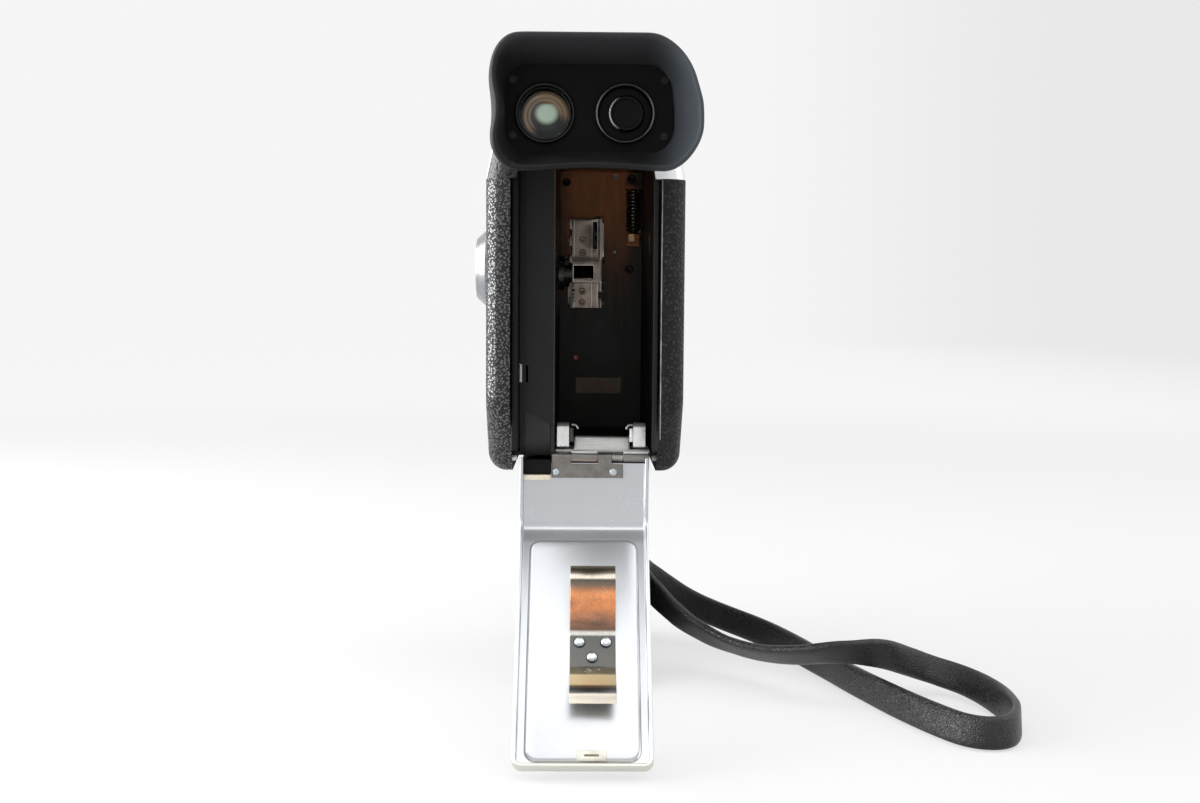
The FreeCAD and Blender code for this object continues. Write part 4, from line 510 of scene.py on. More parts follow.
leaf_nickel, place = new_finish("leaf_nickel")
cloud = place.noise(420, 5, 0.6)
fine = place.noise(3200, 2)
surface(place, fine, 0.00001, Metallic=0.9, Roughness=cloud * 0.15 + 0.3,
        Base_Color=cloud.between(0.3, 0.75).mix((0.225, 0.215, 0.198), (0.165, 0.155, 0.140)))
deliver(leaf_sheet, leaf_nickel, "door", ["hinge_leaf"])
dome_plate, place = new_finish("dome_plate")
cloud = place.noise(600, 2)
surface(place, cloud, 0.00001, Base_Color=(0.52, 0.57, 0.60), Metallic=0.7, Roughness=cloud * 0.1 + 0.24)
deliver(dome, dome_plate, "door", (), None, 60)
deliver(second_dome, dome_plate, "door", (), None, 60)

# Hinge bracket. A brushed nickel block on a plate that is screwed to the chamber floor. Short arms reach from it
# to its two knuckles on the pin.
BLOCK_CORNERS = ((-0.0026, -0.0779, 0.0745), (0.0122, -0.0733, 0.0791))


def block(name, low, high):
    """A box between two corners."""
    size = [b - a for a, b in zip(low, high)]
    return add("cube", name, size, size=1, location=[(a + b) / 2 for a, b in zip(low, high)])


def joined(pieces):
    """Joins pieces into the first of them."""
    bpy.ops.object.select_all(action="DESELECT")
    for piece in pieces:
        piece.select_set(True)
    bpy.context.view_layer.objects.active = pieces[0]
    bpy.ops.object.join()
    return pieces[0]


bracket = block("bracket_block", *BLOCK_CORNERS)
pick(bracket, "EDGE", lambda place, along: abs(along.x) > 0.9 and place.y < -0.0775 and place.z > 0.079)
bpy.ops.transform.translate(value=(0, 0.0022, -0.0001))
pick(bracket, "EDGE", lambda place, along: abs(along.y) > 0.9 and place.x < 0 and place.z < 0.075)
bpy.ops.transform.translate(value=(-0.0004, 0, 0))
pick(bracket, "FACE", lambda place, normal: normal.z > 0.9)
bpy.ops.transform.rotate(value=radians(-0.7), orient_axis="Y", center_override=(0.005, -0.0756, 0.0791))
soften(bracket, 0.00035)
floor_plate = block("bracket_plate", (-0.0078, -0.0778, 0.0750), (0.0176, -0.0669, 0.0758))
soften(floor_plate, 0.0001, 2)
bracket_pieces = [bracket, floor_plate]
for left, right in ((-0.00345, 0.00355), (0.01045, 0.01715)):
    knuckle = add("cylinder", "knuckle", vertices=40, radius=0.00115, depth=right - left,
                  location=((left + right) / 2, -0.0800, 0.0740), rotation=(0, radians(90), 0))
    pick(knuckle, "FACE", lambda place, normal: abs(normal.x) > 0.9)
    bpy.ops.mesh.inset(thickness=0.0005, use_individual=True)
    soften(knuckle, 0.0001, 2)
    arm = block("arm", (left, -0.0800, 0.0749), (right, -0.0775, 0.0756))
    soften(arm, 0.0001, 2)
    bracket_pieces += [knuckle, arm]
bracket = joined(bracket_pieces)

brushed_nickel, place = new_finish("brushed_nickel")
cloud = place.noise(380, 4)
brush = place.noise(2600, 4, 0.65, (0.06, 1, 1))
x, y, z = place.parts()
tone = cloud.between(0.3, 0.7).mix((0.86, 0.86, 0.85), (0.78, 0.775, 0.76))
knuckles = z.between(0.0752, 0.0749) * y.between(-0.0779, -0.0783)
tone = (knuckles * x.within(0.0000, 0.0037, 0.0001)).mix(tone, (0.20, 0.19, 0.175))
tone = (knuckles * x.within(0.0000, 0.0037, 0.0001) * z.between(0.0735, 0.0733)).mix(tone, (0.50, 0.34, 0.31))
tone = (knuckles * x.between(0.0098, 0.0102)).mix(tone, (0.22, 0.21, 0.19))
surface(place, brush, 0.000012, Base_Color=(brush.between(0.35, 0.7) * 0.3).mix(tone, (0.40, 0.38, 0.36)),
        Metallic=0.35, Roughness=cloud * 0.12 + 0.34)
deliver(bracket, brushed_nickel, "camera", ["hinge_bracket"])

# Cover pins. Short turned pins in line with the hinge, pressed into the covers' inner edges.
pins = []
for side in (-1, 1):
    pin = add("cylinder", "cover_pin", vertices=32, radius=0.00075, depth=0.0014,
              location=(side * 0.0187, -0.0800, 0.0738), rotation=(0, radians(90), 0))
    pick(pin, "FACE", lambda place, normal: abs(normal.x) > 0.9)
    bpy.ops.mesh.inset(thickness=0.0003, use_individual=True)
    soften(pin, 0.00015, 2)
    pins.append(pin)
pins = joined(pins)
deliver(pins, brushed_nickel, "camera")

# Clips. Two springs of plated strip, bent over at the top, and each with a small curled hook beside it. They
# steady the cartridge's foot and are riveted to the bracket's plate.
CLIP_LINE = [(-0.0787, 0.0768), (-0.0783, 0.0819), (-0.0776, 0.0827), (-0.0763, 0.0829), (-0.0755, 0.0822),
             (-0.0755, 0.0762)]
clips = []
for left, right, hook, way in ((-0.00735, -0.00410, -0.0029, 1), (0.01315, 0.01640, 0.0124, -1)):
    clip = bent_sheet("clip", left, right, CLIP_LINE)
    pick(clip, "EDGE", lambda place, along: abs(along.x) > 0.99 and place.z > 0.0815)
    bpy.ops.mesh.bevel(offset=0.0003, segments=3, affect="EDGES")
    thicken(clip, 0.0004, 0)
    soften(clip, 0.0001, 2)
    curl = add("torus", "hook", major_radius=0.0011, minor_radius=0.00026, major_segments=40, minor_segments=10,
               location=(hook, -0.0785, 0.0815), rotation=(radians(90), 0, 0))
    for way_out in ((0, 0, 1), (way, 0, 0.5)):
        pick(curl, "FACE", lambda place, normal: True)
        bpy.ops.mesh.bisect(plane_co=(hook, 0, 0.0816), plane_no=way_out, clear_inner=True, use_fill=True)
    bpy.ops.object.mode_set(mode="OBJECT")
    post = add("cylinder", "post", vertices=28, radius=0.0006, depth=0.0036,
               location=(right + 0.0006 if way > 0 else left - 0.0005, -0.0780, 0.0798))
    pick(post, "FACE", lambda place, normal: abs(normal.z) > 0.9)
    bpy.ops.mesh.inset(thickness=0.0002, use_individual=True)
    soften(post, 0.0001, 2)
    clips += [clip, curl, post]
clips = joined(clips)
clip_plate, place = new_finish("clip_plate")
x, y, z = place.parts()
cloud = place.noise(500, 4)
dark_post = (x.between(-0.0042, -0.0040) * x.between(-0.0028, -0.0030)) * z.between(0.0817, 0.0815)
tone = cloud.between(0.3, 0.75).mix((0.93, 0.93, 0.92), (0.84, 0.83, 0.81))
tone = z.between(0.0817, 0.0824).mix(tone, (0.30, 0.29, 0.28))
surface(place, cloud, 0.000015, Base_Color=dark_post.mix(tone, (0.06, 0.055, 0.05)), Metallic=0.30,
        Roughness=cloud * 0.15 + 0.22)
deliver(clips, clip_plate, "camera", ["hinge_clips"])

# Light trap. A black strip riveted to the short leg beside the hinge leaf, and under it a pale lip of folded
# brass strip that rests on the chamber's edge when the door is shut.
trap = block("trap_strip", (-0.0163, -0.0812, 0.0695), (-0.0088, -0.0800, 0.0734))
pick(trap, "FACE", lambda place, normal: normal.y < -0.9)
bpy.ops.mesh.inset(thickness=0.0005)
push(y=0.0001)
soften(trap, 0.0002)
black_felt, place = new_finish("black_felt")
fibres = place.noise(2200, 4, 0.7)
surface(place, fibres, 0.00006, Base_Color=fibres.between(0.3, 0.8).mix((0.004, 0.004, 0.004), (0.010, 0.010, 0.010)),
        Roughness=fibres * 0.1 + 0.7, Specular_IOR_Level=0.15)
deliver(trap, black_felt, "door", ["light_trap"])
lip = block("lip_strip", (-0.0166, -0.0811, 0.0679), (-0.0089, -0.0800, 0.0694))
pick(lip, "EDGE", lambda place, along: abs(along.y) > 0.9 and place.x > -0.009)
bpy.ops.mesh.bevel(offset=0.0005, segments=4, affect="EDGES")
soften(lip, 0.00025)
cream_strip, place = new_finish("cream_strip")
cloud = place.noise(500, 4)
surface(place, cloud, 0.00003, Base_Color=cloud.between(0.35, 0.75).mix((0.95, 0.89, 0.74), (0.84, 0.72, 0.52)),
        Metallic=0.2, Roughness=cloud * 0.15 + 0.3)
deliver(lip, cream_strip, "door", ["trap_lip"])

# Gate. The film's path past the aperture, milled from nickel silver, with two rails, notches at its sides and a
# long slot for the claw. Four small screws hold it to the bulkhead.
GATE_SIDES = (-0.0045, -0.0042, -0.0036, 0.0024, 0.00275, 0.0039, 0.0043, 0.0048)
GATE_LEVELS = (0.1166, 0.1188, 0.1219, 0.12275, 0.1272, 0.1292, 0.1306, 0.1325, 0.1334, 0.1369, 0.1388, 0.1413)
gate = add("plane", "gate_sheet", (0.0106, 0.0285, 1), size=1, location=(0.0002, 0.0006, 0.12785),
           rotation=(radians(90), 0, 0))
for side in GATE_SIDES:
    pick(gate, "FACE", lambda place, normal: True)
    bpy.ops.mesh.bisect(plane_co=(side, 0, 0), plane_no=(1, 0, 0))
for level in GATE_LEVELS:
    pick(gate, "FACE", lambda place, normal: True)
    bpy.ops.mesh.bisect(plane_co=(0, 0, level), plane_no=(0, 0, 1))
pick(gate, "FACE", lambda place, normal:
     (-0.0036 < place.x < 0.00275 and 0.12275 < place.z < 0.1272)
     or (0.0024 < place.x < 0.0039 and 0.1325 < place.z < 0.1413)
     or (place.x < -0.0042 and (0.1369 < place.z < 0.1388 or 0.1306 < place.z < 0.1334))
     or (place.x < -0.0045 and place.z < 0.1219)
     or (place.x > 0.0043 and 0.1166 < place.z < 0.1188))
bpy.ops.mesh.delete(type="FACE")
pick(gate, "FACE", lambda place, normal: 0.1219 < place.z < 0.1292 or place.x < -0.0042 or place.x > 0.0048)
push(y=-0.00022)
pick(gate, "FACE", lambda place, normal: 0.0043 < place.x < 0.0048 and place.z > 0.1292)
push(y=0.0005)
turn_outwards(gate)
front = max(gate.data.polygons, key=lambda face: face.area)
thicken(gate, 0.0013, -1 if front.normal.y < 0 else 1)
soften(gate, 0.00009, 2)

gate_nickel, place = new_finish("gate_nickel")
x, y, z = place.parts()
cloud = place.noise(330, 5, 0.62)
tooling = place.noise(3000, 3, 0.6, (1, 1, 0.10))
# Bright at the raised right rail and the left outer edge: painted highlights.
edge = (x.between(0.0046, 0.0049) * z.between(0.129, 0.1294)).either(x.between(-0.0049, -0.0051))
tone = cloud.between(0.3, 0.72).mix((0.42, 0.35, 0.30), (0.30, 0.24, 0.205))
# Bright lines along the edges, the windows and the rails: worn metal, brightened further as painted highlights.
worn = z.within(0.1292, 0.00012, 0.00008).either(z.within(0.1219, 0.00012, 0.00008))
for left, right, low, high in ((-0.0037, 0.00285, 0.12265, 0.1273), (0.0023, 0.0040, 0.1324, 0.1414)):
    upright = x.within(left, 0.0001, 0.00008).either(x.within(right, 0.0001, 0.00008))
    level = z.within(low, 0.0001, 0.00008).either(z.within(high, 0.0001, 0.00008))
    inside = x.within((left + right) / 2, (right - left) / 2 + 0.0001, 0.00005)
    inside = inside * z.within((low + high) / 2, (high - low) / 2 + 0.0001, 0.00005)
    worn = worn.either(upright.either(level) * inside)
rails = x.within(-0.0047, 0.00008, 0.00006)
for line in (-0.0035, 0.0022, 0.0040, 0.0049):
    rails = rails.either(x.within(line, 0.00008, 0.00006))
worn = worn.either(rails * (z.between(0.1292, 0.1294).either(z.between(0.1219, 0.1217))))
tone = (worn * cloud.between(0.2, 0.45)).mix(tone, (1.0, 0.92, 0.84))
# The claw slot's inner walls are darkened: painted shade.
slot_painted_shade = x.within(0.00315, 0.0008, 0.00005) * z.within(0.1369, 0.0045, 0.00005) * y.between(0.0006, 0.0008)
tone = slot_painted_shade.mix(tone, (0.006, 0.005, 0.005))
tone = (edge * 0.7).mix(tone, (0.95, 0.86, 0.78))
surface(place, tooling, 0.00001, Base_Color=(tooling.between(0.4, 0.75) * 0.3).mix(tone, (0.42, 0.36, 0.31)),
        Metallic=0.85, Roughness=cloud * 0.2 + 0.28)
deliver(gate, gate_nickel, "camera", ["gate_plate"])

# Chamber screws. Small pan heads with a hollow middle, of the gate and the bulkhead: brass on the gate, blackened
# or bright on the wall, and one with a red seal.
SCREWS = [(-0.0007, 0.1354, 0.0010, 0.00112), (-0.0007, 0.1313, 0.0010, 0.00112), (-0.0008, 0.1190, 0.0010, 0.0011),
          (-0.0008, 0.11535, 0.0010, 0.0011), (-0.0060, 0.1538, 0.0022, 0.0013), (0.0096, 0.1560, 0.0022, 0.0007),
          (0.0148, 0.1552, 0.0022, 0.0014), (0.0096, 0.1316, 0.0022, 0.0007), (0.0143, 0.1261, 0.0022, 0.0014),
          (-0.0028, 0.0976, 0.0022, 0.0011)]


def turned(name, radius, front, centre, steps, sides=72):
    """A round piece that faces the rear: a disc, then steps of its edge (radius) and its depth (forward)."""
    piece = add("circle", name, vertices=sides, radius=radius, fill_type="NGON",
                location=(centre[0], front, centre[1]), rotation=(radians(90), 0, 0))
    pick(piece, "FACE", lambda place, normal: True)
    now = radius
    for wide, forward in steps:
        push(y=forward)
        share = wide / now
        bpy.ops.transform.resize(value=(share, 1, share), center_override=(centre[0], front, centre[1]))
        now = wide
    bpy.ops.object.mode_set(mode="OBJECT")
    return piece


heads = []
for across, level, seat, radius in SCREWS:
    head = turned("screw_head", radius, seat, (across, level),
                  [(radius, -0.0006), (radius * 0.84, -0.0002), (radius * 0.45, 0), (radius * 0.40, 0.0003)], 32)
    soften(head, 0.00006, 2, 20)
    heads.append(head)
heads = joined(heads)
screw_metal, place = new_finish("screw_metal")
x, y, z = place.parts()
on_gate = x.within(-0.0004, 0.0020, 0.0002) * z.between(0.112, 0.114)
sealed = z.between(0.1000, 0.0990)
dark = x.between(-0.0040, -0.0044).either(x.between(0.0125, 0.0130))
bright = x.between(0.0080, 0.0084) * x.between(0.0118, 0.0114)
cloud = place.noise(900, 3)
tone = on_gate.mix((0.20, 0.17, 0.14), (0.62, 0.46, 0.27))
for level in (0.1354, 0.1313, 0.1190, 0.11535):
    from_middle = place.node("VectorMath", {"operation": "DISTANCE"}, {0: place, 1: (-0.0007, 0.0004, level)}, 1)
    tone = (from_middle.within(0.00085, 0.00010, 0.00008) * 0.7).mix(tone, (0.03, 0.02, 0.015))
    tone = (from_middle.between(0.00045, 0.00030) * 0.6).mix(tone, (0.05, 0.035, 0.02))
tone = (dark * z.between(0.101, 0.103)).mix(tone, (0.010, 0.010, 0.009))
tone = bright.mix(tone, (0.05, 0.03, 0.02))
for level in (0.1560, 0.1316):
    from_middle = place.node("VectorMath", {"operation": "DISTANCE"}, {0: place, 1: (0.0096, 0.0016, level)}, 1)
    tone = from_middle.between(0.00075, 0.00055).mix(tone, (0.50, 0.46, 0.41))
middle_out = place.node("VectorMath", {"operation": "DISTANCE"}, {0: place, 1: (-0.0028, 0.0016, 0.0976)}, 1)
tone = sealed.mix(tone, middle_out.between(0.0004, 0.0007).mix((0.42, 0.24, 0.20), (0.26, 0.05, 0.04)))
surface(place, cloud, 0.00001, Base_Color=(cloud.between(0.45, 0.7) * 0.4).mix(tone, (0.05, 0.04, 0.03)),
        Metallic=0.7, Roughness=cloud * 0.2 + 0.25)
deliver(heads, screw_metal, "camera", ["chamber_screws"], None, 40)

# Feeler. A brass block that slides on the chamber's wall and reads the notch in the cartridge, under a steel
# spring coiled round its stem.
COIL_TURNS, COIL_PITCH = 12, 0.00108
coil = add("circle", "feeler_coil", vertices=10, radius=0.00034, fill_type="NOTHING",
           location=(0.0021, 0, 0), rotation=(radians(90), 0, 0))
apply_modifier(coil, "SCREW", axis="Z", angle=2 * pi, screw_offset=COIL_PITCH, iterations=COIL_TURNS, steps=28,
               render_steps=28, use_merge_vertices=True)
pick(coil, "VERT", lambda place, normal: True)
bpy.ops.mesh.remove_doubles(threshold=0.000001)
bpy.ops.mesh.select_all(action="DESELECT")
bpy.ops.mesh.select_non_manifold()
bpy.ops.mesh.edge_face_add()
bpy.ops.object.mode_set(mode="OBJECT")
coil_steel, place = new_finish("coil_steel")
cloud = place.noise(700, 3)
surface(place, cloud, 0.00001, Base_Color=cloud.between(0.35, 0.75).mix((0.33, 0.27, 0.22), (0.10, 0.08, 0.065)),
        Metallic=0.9, Roughness=cloud * 0.15 + 0.2)
deliver(coil, coil_steel, "camera", ["feeler_spring"],
        Matrix.Translation((0.0154, -0.0005, 0.13812)), 60)

feeler_brass, place = new_finish("feeler_brass")
x, y, z = place.parts()
cloud = place.noise(520, 4)
# A bright spot on the block's left half: a painted highlight.
painted_brass_highlight = x.within(0.0148, 0.0008, 0.0003) * z.within(0.1361, 0.0011, 0.0003)
tone = cloud.between(0.3, 0.75).mix((0.22, 0.10, 0.04), (0.10, 0.045, 0.02))
surface(place, cloud, 0.00002, Base_Color=painted_brass_highlight.mix(tone, (1.0, 0.66, 0.36)), Metallic=0.85 - painted_brass_highlight * 0.5,
        Roughness=cloud * 0.2 + 0.2)
coat(feeler_brass, "speed_feeler")

# Chamber. A light-alloy casting with black stove enamel inside, stained brown at the top by oil and old foam. It
# is screwed to the bulkhead, and its floor carries the hinge.
chamber_enamel, place = new_finish("chamber_enamel")
x, y, z = place.parts()
streak = place.noise(420, 5, 0.62, (1, 1, 0.09))
cloud = place.noise(60, 5, 0.6)
stain = z.between(0.099, 0.157) * 0.72 + (streak - 0.5) * 0.55 + (cloud - 0.5) * 0.7
wall = y.between(-0.012, -0.002)
centre_band = x.between(-0.0105, -0.004) * x.between(0.0180, 0.0120)
amount = stain * (wall * centre_band * 0.75 + 0.25)
shade = amount.node("ValToRGB", {"stops": [
    (0.00, (0.008, 0.0074, 0.0052)), (0.10, (0.030, 0.021, 0.011)), (0.28, (0.12, 0.055, 0.022)),
    (0.48, (0.34, 0.125, 0.045)), (0.85, (0.62, 0.225, 0.075))]}, {0: amount})
low = z.between(0.112, 0.090)
shade = (low * 0.8 * wall).mix(shade, (0.020, 0.018, 0.012))
rim = (x.between(-0.0084, -0.0079) * x.between(-0.0070, -0.0075)) * y.between(-0.070, -0.078)
shade = (rim * 0.5).mix(shade, (0.16, 0.10, 0.07))
flat_black = y.between(-0.030, -0.062)
shade = (flat_black * 0.85 * (1 - rim)).mix(shade, (0.0085, 0.0085, 0.009))
surface(place, streak * 0.6 + place.noise(2400, 2) * 0.4, 0.00004, Base_Color=shade,
        Roughness=cloud * 0.25 + 0.36, Specular_IOR_Level=0.42)
coat(chamber_enamel, "film_chamber")

# Rear panel. Blackened brass sheet that closes the space between the chamber and the left cover. A thin bright
# line along its edge by the chamber is a painted highlight.
panel_black, place = new_finish("panel_black")
x, y, z = place.parts()
cloud = place.noise(90, 4)
fine = place.noise(1900, 3)
# The bright line at the panel's edge by the chamber: a painted highlight.
worn = x.between(-0.00835, -0.00815)
# Darker at its edge beside the left cover: painted shade.
dark_edge = x.between(-0.0155, -0.0160)
# Lighter at the bent foot: a painted reflection of the floor.
lower = (z + x * 0.45).between(0.0795, 0.0780)
tone = (lower * 0.9).mix((0.0078, 0.0078, 0.0082), (0.026, 0.0262, 0.027))
tone = dark_edge.mix(tone, (0.0035, 0.0035, 0.0035))
tone = (worn * 0.8).mix(tone, (0.10, 0.08, 0.065))
slot_mark = x.within(-0.0170, 0.0003, 0.00005) * z.within(0.0964, 0.0024, 0.0001)
tone = slot_mark.mix(tone, (0.85, 0.86, 0.88))
surface(place, fine, 0.00002, Base_Color=tone, Roughness=cloud * 0.15 + 0.4, Specular_IOR_Level=0.3)
coat(panel_black, "rear_panel")

# Linings. Narrow black strips folded along the covers' inner edges, beside the chamber's mouth.
linings = []
for low, high in (((-0.0192, -0.0892, 0.0766), (-0.01735, -0.0800, 0.1530)),
                  ((0.0176, -0.0880, 0.0766), (0.0191, -0.0873, 0.1530))):
    lining = block("lining", low, high)
    pick(lining, "EDGE", lambda place, along: abs(along.z) > 0.9 and place.y < low[1] + 0.0002)
    bpy.ops.mesh.bevel(offset=0.0004, segments=4, affect="EDGES")
    bpy.ops.object.mode_set(mode="OBJECT")
    linings.append(lining)
linings = joined(linings)
lining_black, place = new_finish("lining_black")
x, y, z = place.parts()
cloud = place.noise(120, 4)
surface(place, place.noise(2000, 3), 0.00002, Roughness=cloud * 0.15 + 0.35, Specular_IOR_Level=0.22,
        Base_Color=x.between(0.0188, 0.0178).mix((0.028, 0.028, 0.0285), (0.005, 0.005, 0.0052)))
deliver(linings, lining_black, "camera")

# Blank label. A strip of beige paper glued to the bulkhead, a little browned.
label_paper, place = new_finish("label_paper")
fibre = place.noise(1800, 4, 0.65, (0.3, 1, 1))
cloud = place.noise(240, 3)
surface(place, fibre, 0.00002, Roughness=fibre * 0.15 + 0.7, Specular_IOR_Level=0.2,
        Base_Color=cloud.between(0.3, 0.7).mix((1.0, 0.82, 0.66), (0.92, 0.72, 0.57)))
coat(label_paper, "film_label")

# Claw, gears and drive. Steel and brass wheels turned and hobbed, oiled, and hidden behind the bulkhead, with the
# black moulded take-up spindle at the chamber's left.
worked_steel, place = new_finish("worked_steel")
cloud = place.noise(260, 4)
lathe_marks = place.noise(1500, 3, 0.6, (1, 0.1, 1))
surface(place, lathe_marks, 0.00002, Metallic=0.95, Roughness=cloud * 0.2 + 0.25,
        Base_Color=cloud.between(0.3, 0.75).mix((0.50, 0.49, 0.47), (0.34, 0.32, 0.30)))
coat(worked_steel, "worm_shaft", "drive_motor", "hinge_pin", "hinge_spring", "door_latch",
     "trigger_spring", "strap_stud", "zoom_lever")
rivet_nickel, place = new_finish("rivet_nickel")
cloud = place.noise(700, 3)
surface(place, cloud, 0.00001, Base_Color=(0.46, 0.50, 0.53), Metallic=1.0, Roughness=cloud * 0.1 + 0.12)
coat(rivet_nickel, "door_rivets")
wheel_brass, place = new_finish("wheel_brass")
cloud = place.noise(300, 4)
surface(place, place.noise(1600, 2, 0.5, (0.1, 1, 1)), 0.00001, Metallic=0.95, Roughness=cloud * 0.2 + 0.22,
        Base_Color=cloud.between(0.3, 0.75).mix((0.66, 0.46, 0.20), (0.48, 0.30, 0.12)))
coat(wheel_brass, "takeup_gear", "drive_gear", "tripod_bush")
spindle_black, place = new_finish("spindle_black")
x, y, z = place.parts()
cloud = place.noise(420, 3)
# Pale patches at the spindle's tip: painted glints.
tip = y.between(-0.0395, -0.0405) * cloud.between(0.55, 0.65)
surface(place, place.noise(2200, 2), 0.00002, Roughness=cloud * 0.15 + 0.25,
        Base_Color=(tip * 0.5).mix((0.012, 0.011, 0.011), (0.30, 0.27, 0.25)))
coat(spindle_black, "takeup_spindle", "shutter_disc", "film_claw")
cell_wrap, place = new_finish("cell_wrap")
x, y, z = place.parts()
band = (z * 60).maths("FRACT", z * 60, 0).between(0.70, 0.74)
surface(place, place.noise(900, 2), 0.00001, Base_Color=band.mix((0.03, 0.03, 0.032), (0.42, 0.28, 0.10)),
        Metallic=0.4, Roughness=place.noise(300, 3) * 0.15 + 0.25)
coat(cell_wrap, "battery_cells")

# Covers. Two deep shells of light alloy, with black leatherette glued on: coarse pebbles on the left, finer grain
# on the right. A thin bright bead of bare metal edges the right one.
left_leather, place = new_finish("left_leather")
bumps = place.cells(1650)
fine = place.noise(3000, 2)
tops = bumps.between(0.55, 0.25)
worn = place.noise(45, 4).between(0.45, 0.75)
# Pebble tops are lighter and the hollows between them darker: painted sheen and painted shade.
shade = tops.mix((0.006, 0.006, 0.0065), (0.026, 0.027, 0.028))
surface(place, (1 - bumps) * 0.9 + fine * 0.3, 0.00022, Base_Color=(worn * 0.3).mix(shade, (0.045, 0.046, 0.048)),
        Coat_Weight=tops * 0.95 + 0.05, Coat_Roughness=0.20, Coat_IOR=2.0, Roughness=fine * 0.2 + 0.45,
        Specular_IOR_Level=0.22)
coat(left_leather, "left_cover")
right_leather, place = new_finish("right_leather")
bumps = place.cells(1150)
creases = place.noise(900, 4, 0.6, (1, 1, 0.5))
tops = bumps.between(0.45, 0.15)
height = (1 - bumps) * 0.8 + creases * 0.4
# Pebble tops are lighter and the hollows between them darker: painted sheen and painted shade.
surface(place, height, 0.00028, Base_Color=tops.mix((0.0045, 0.0044, 0.0046), (0.020, 0.0195, 0.020)),
        Coat_Weight=tops * 0.5, Coat_Roughness=0.22, Roughness=creases * 0.2 + 0.42, Specular_IOR_Level=0.25)
coat(right_leather, "right_cover")
bead = block("cover_bead", (0.01940, -0.09315, 0.0800), (0.01965, -0.09270, 0.1466))
soften(bead, 0.00006, 2)
bead_metal, place = new_finish("bead_metal")
cloud = place.noise(240, 4)
surface(place, cloud, 0.00001, Base_Color=cloud.between(0.35, 0.65).mix((0.50, 0.51, 0.52), (0.22, 0.22, 0.23)),
        Metallic=0.7, Roughness=cloud * 0.2 + 0.25)
deliver(bead, bead_metal, "camera")

# Cap, dial and front. The cap over both covers and the dial on the left are silver, die-cast and lacquered. The
# front plate, the lens barrel and its rings are black anodised alloy with turned grooves.
CAP_FOOT, CAP_HEIGHT, CAP_LEAN = 0.1468, 0.0232, 0.17
cap_silver, place = new_finish("cap_silver")
cloud = place.noise(60, 4)
handling = place.noise(340, 5, 0.65).between(0.6, 0.8)
x, y, z = place.parts()
lap = ((x + 0.0256 - (z - CAP_FOOT) * 0.22).between(0, 0.0003) * x.between(-0.015, -0.016)
       * z.between(0.1536, 0.1533) * y.between(-0.080, -0.084))
pebbles = place.cells(1350, "SMOOTH_F1")
tone = (cloud * 0.4).mix((0.93, 0.935, 0.94), (0.87, 0.875, 0.885))
surface(place, place.noise(2800, 2) * 0.1 + (1 - pebbles) * lap, 0.0002, Metallic=(1 - lap) * 0.35,
        Roughness=cloud * 0.1 + 0.26 + handling * 0.08,
        Base_Color=lap.mix(tone, pebbles.between(0.15, 0.6).mix((0.045, 0.046, 0.048), (0.012, 0.012, 0.013))))
bpy.ops.object.select_all(action="DESELECT")
nodes["top_cover"].select_set(True)
bpy.context.view_layer.objects.active = nodes["top_cover"]
bpy.ops.object.duplicate(linked=False)
cap = bpy.context.object
cap.name = "cap_shell"
pick(cap, "VERT", lambda place, normal: True)
bpy.ops.mesh.remove_doubles(threshold=0.000002)
bpy.ops.object.mode_set(mode="OBJECT")
for corner in cap.data.vertices:
    rise = min(max((corner.co.z - CAP_FOOT) / CAP_HEIGHT, 0), 1)
    corner.co.x *= 1 - CAP_LEAN * rise
deliver(cap, cap_silver, "camera", ["top_cover"], None, 35)
dial_silver, place = new_finish("dial_silver")
centred = place.node("Mapping", {"vector_type": "POINT"}, {0: place, 1: (0, 0.058, -0.1246)})
round_out = centred.node("VectorMath", {"operation": "MULTIPLY"}, {0: centred, 1: (0, 1, 1)})
out = round_out.node("VectorMath", {"operation": "LENGTH"}, {0: round_out}, 1)
rings = (out * 5200).maths("SINE", out * 5200, 0)
surface(place, rings * 0.5 + place.noise(1500, 2) * 0.5, 0.00001, Metallic=0.7,
        Base_Color=place.noise(120, 3).mix((0.30, 0.31, 0.32), (0.26, 0.27, 0.28)),
        Roughness=place.noise(200, 3) * 0.12 + 0.2)
coat(dial_silver, "side_dial")
anodised_black, place = new_finish("anodised_black")
cloud = place.noise(120, 4)
scratches = place.noise(500, 5, 0.7, (1, 0.15, 1)).between(0.66, 0.75)
surface(place, place.noise(2600, 2), 0.00002, Specular_IOR_Level=0.5,
        Base_Color=(scratches * 0.4).mix((0.010, 0.010, 0.011), (0.06, 0.06, 0.062)),
        Roughness=cloud * 0.15 + 0.3)
coat(anodised_black, "front_plate", "bottom_plate", "lens_barrel", "zoom_ring", "focus_ring")
clear_glass, place = new_finish("clear_glass")
smear = place.noise(60, 4)
surface(place, Base_Color=(0.86, 0.95, 0.92), Roughness=smear.between(0.5, 0.8) * 0.05 + 0.01,
        Transmission_Weight=1.0, IOR=1.45, Coat_Weight=0.4)
coat(clear_glass, "front_lens", "cartridge_window")
coated_glass, place = new_finish("coated_glass")
smear = place.noise(60, 4)
surface(place, Base_Color=smear.between(0.4, 0.8).mix((0.0016, 0.0012, 0.0022), (0.0022, 0.0018, 0.0028)),
        Roughness=smear * 0.04 + 0.3, Specular_IOR_Level=0.05)
coat(coated_glass, "relay_lens")

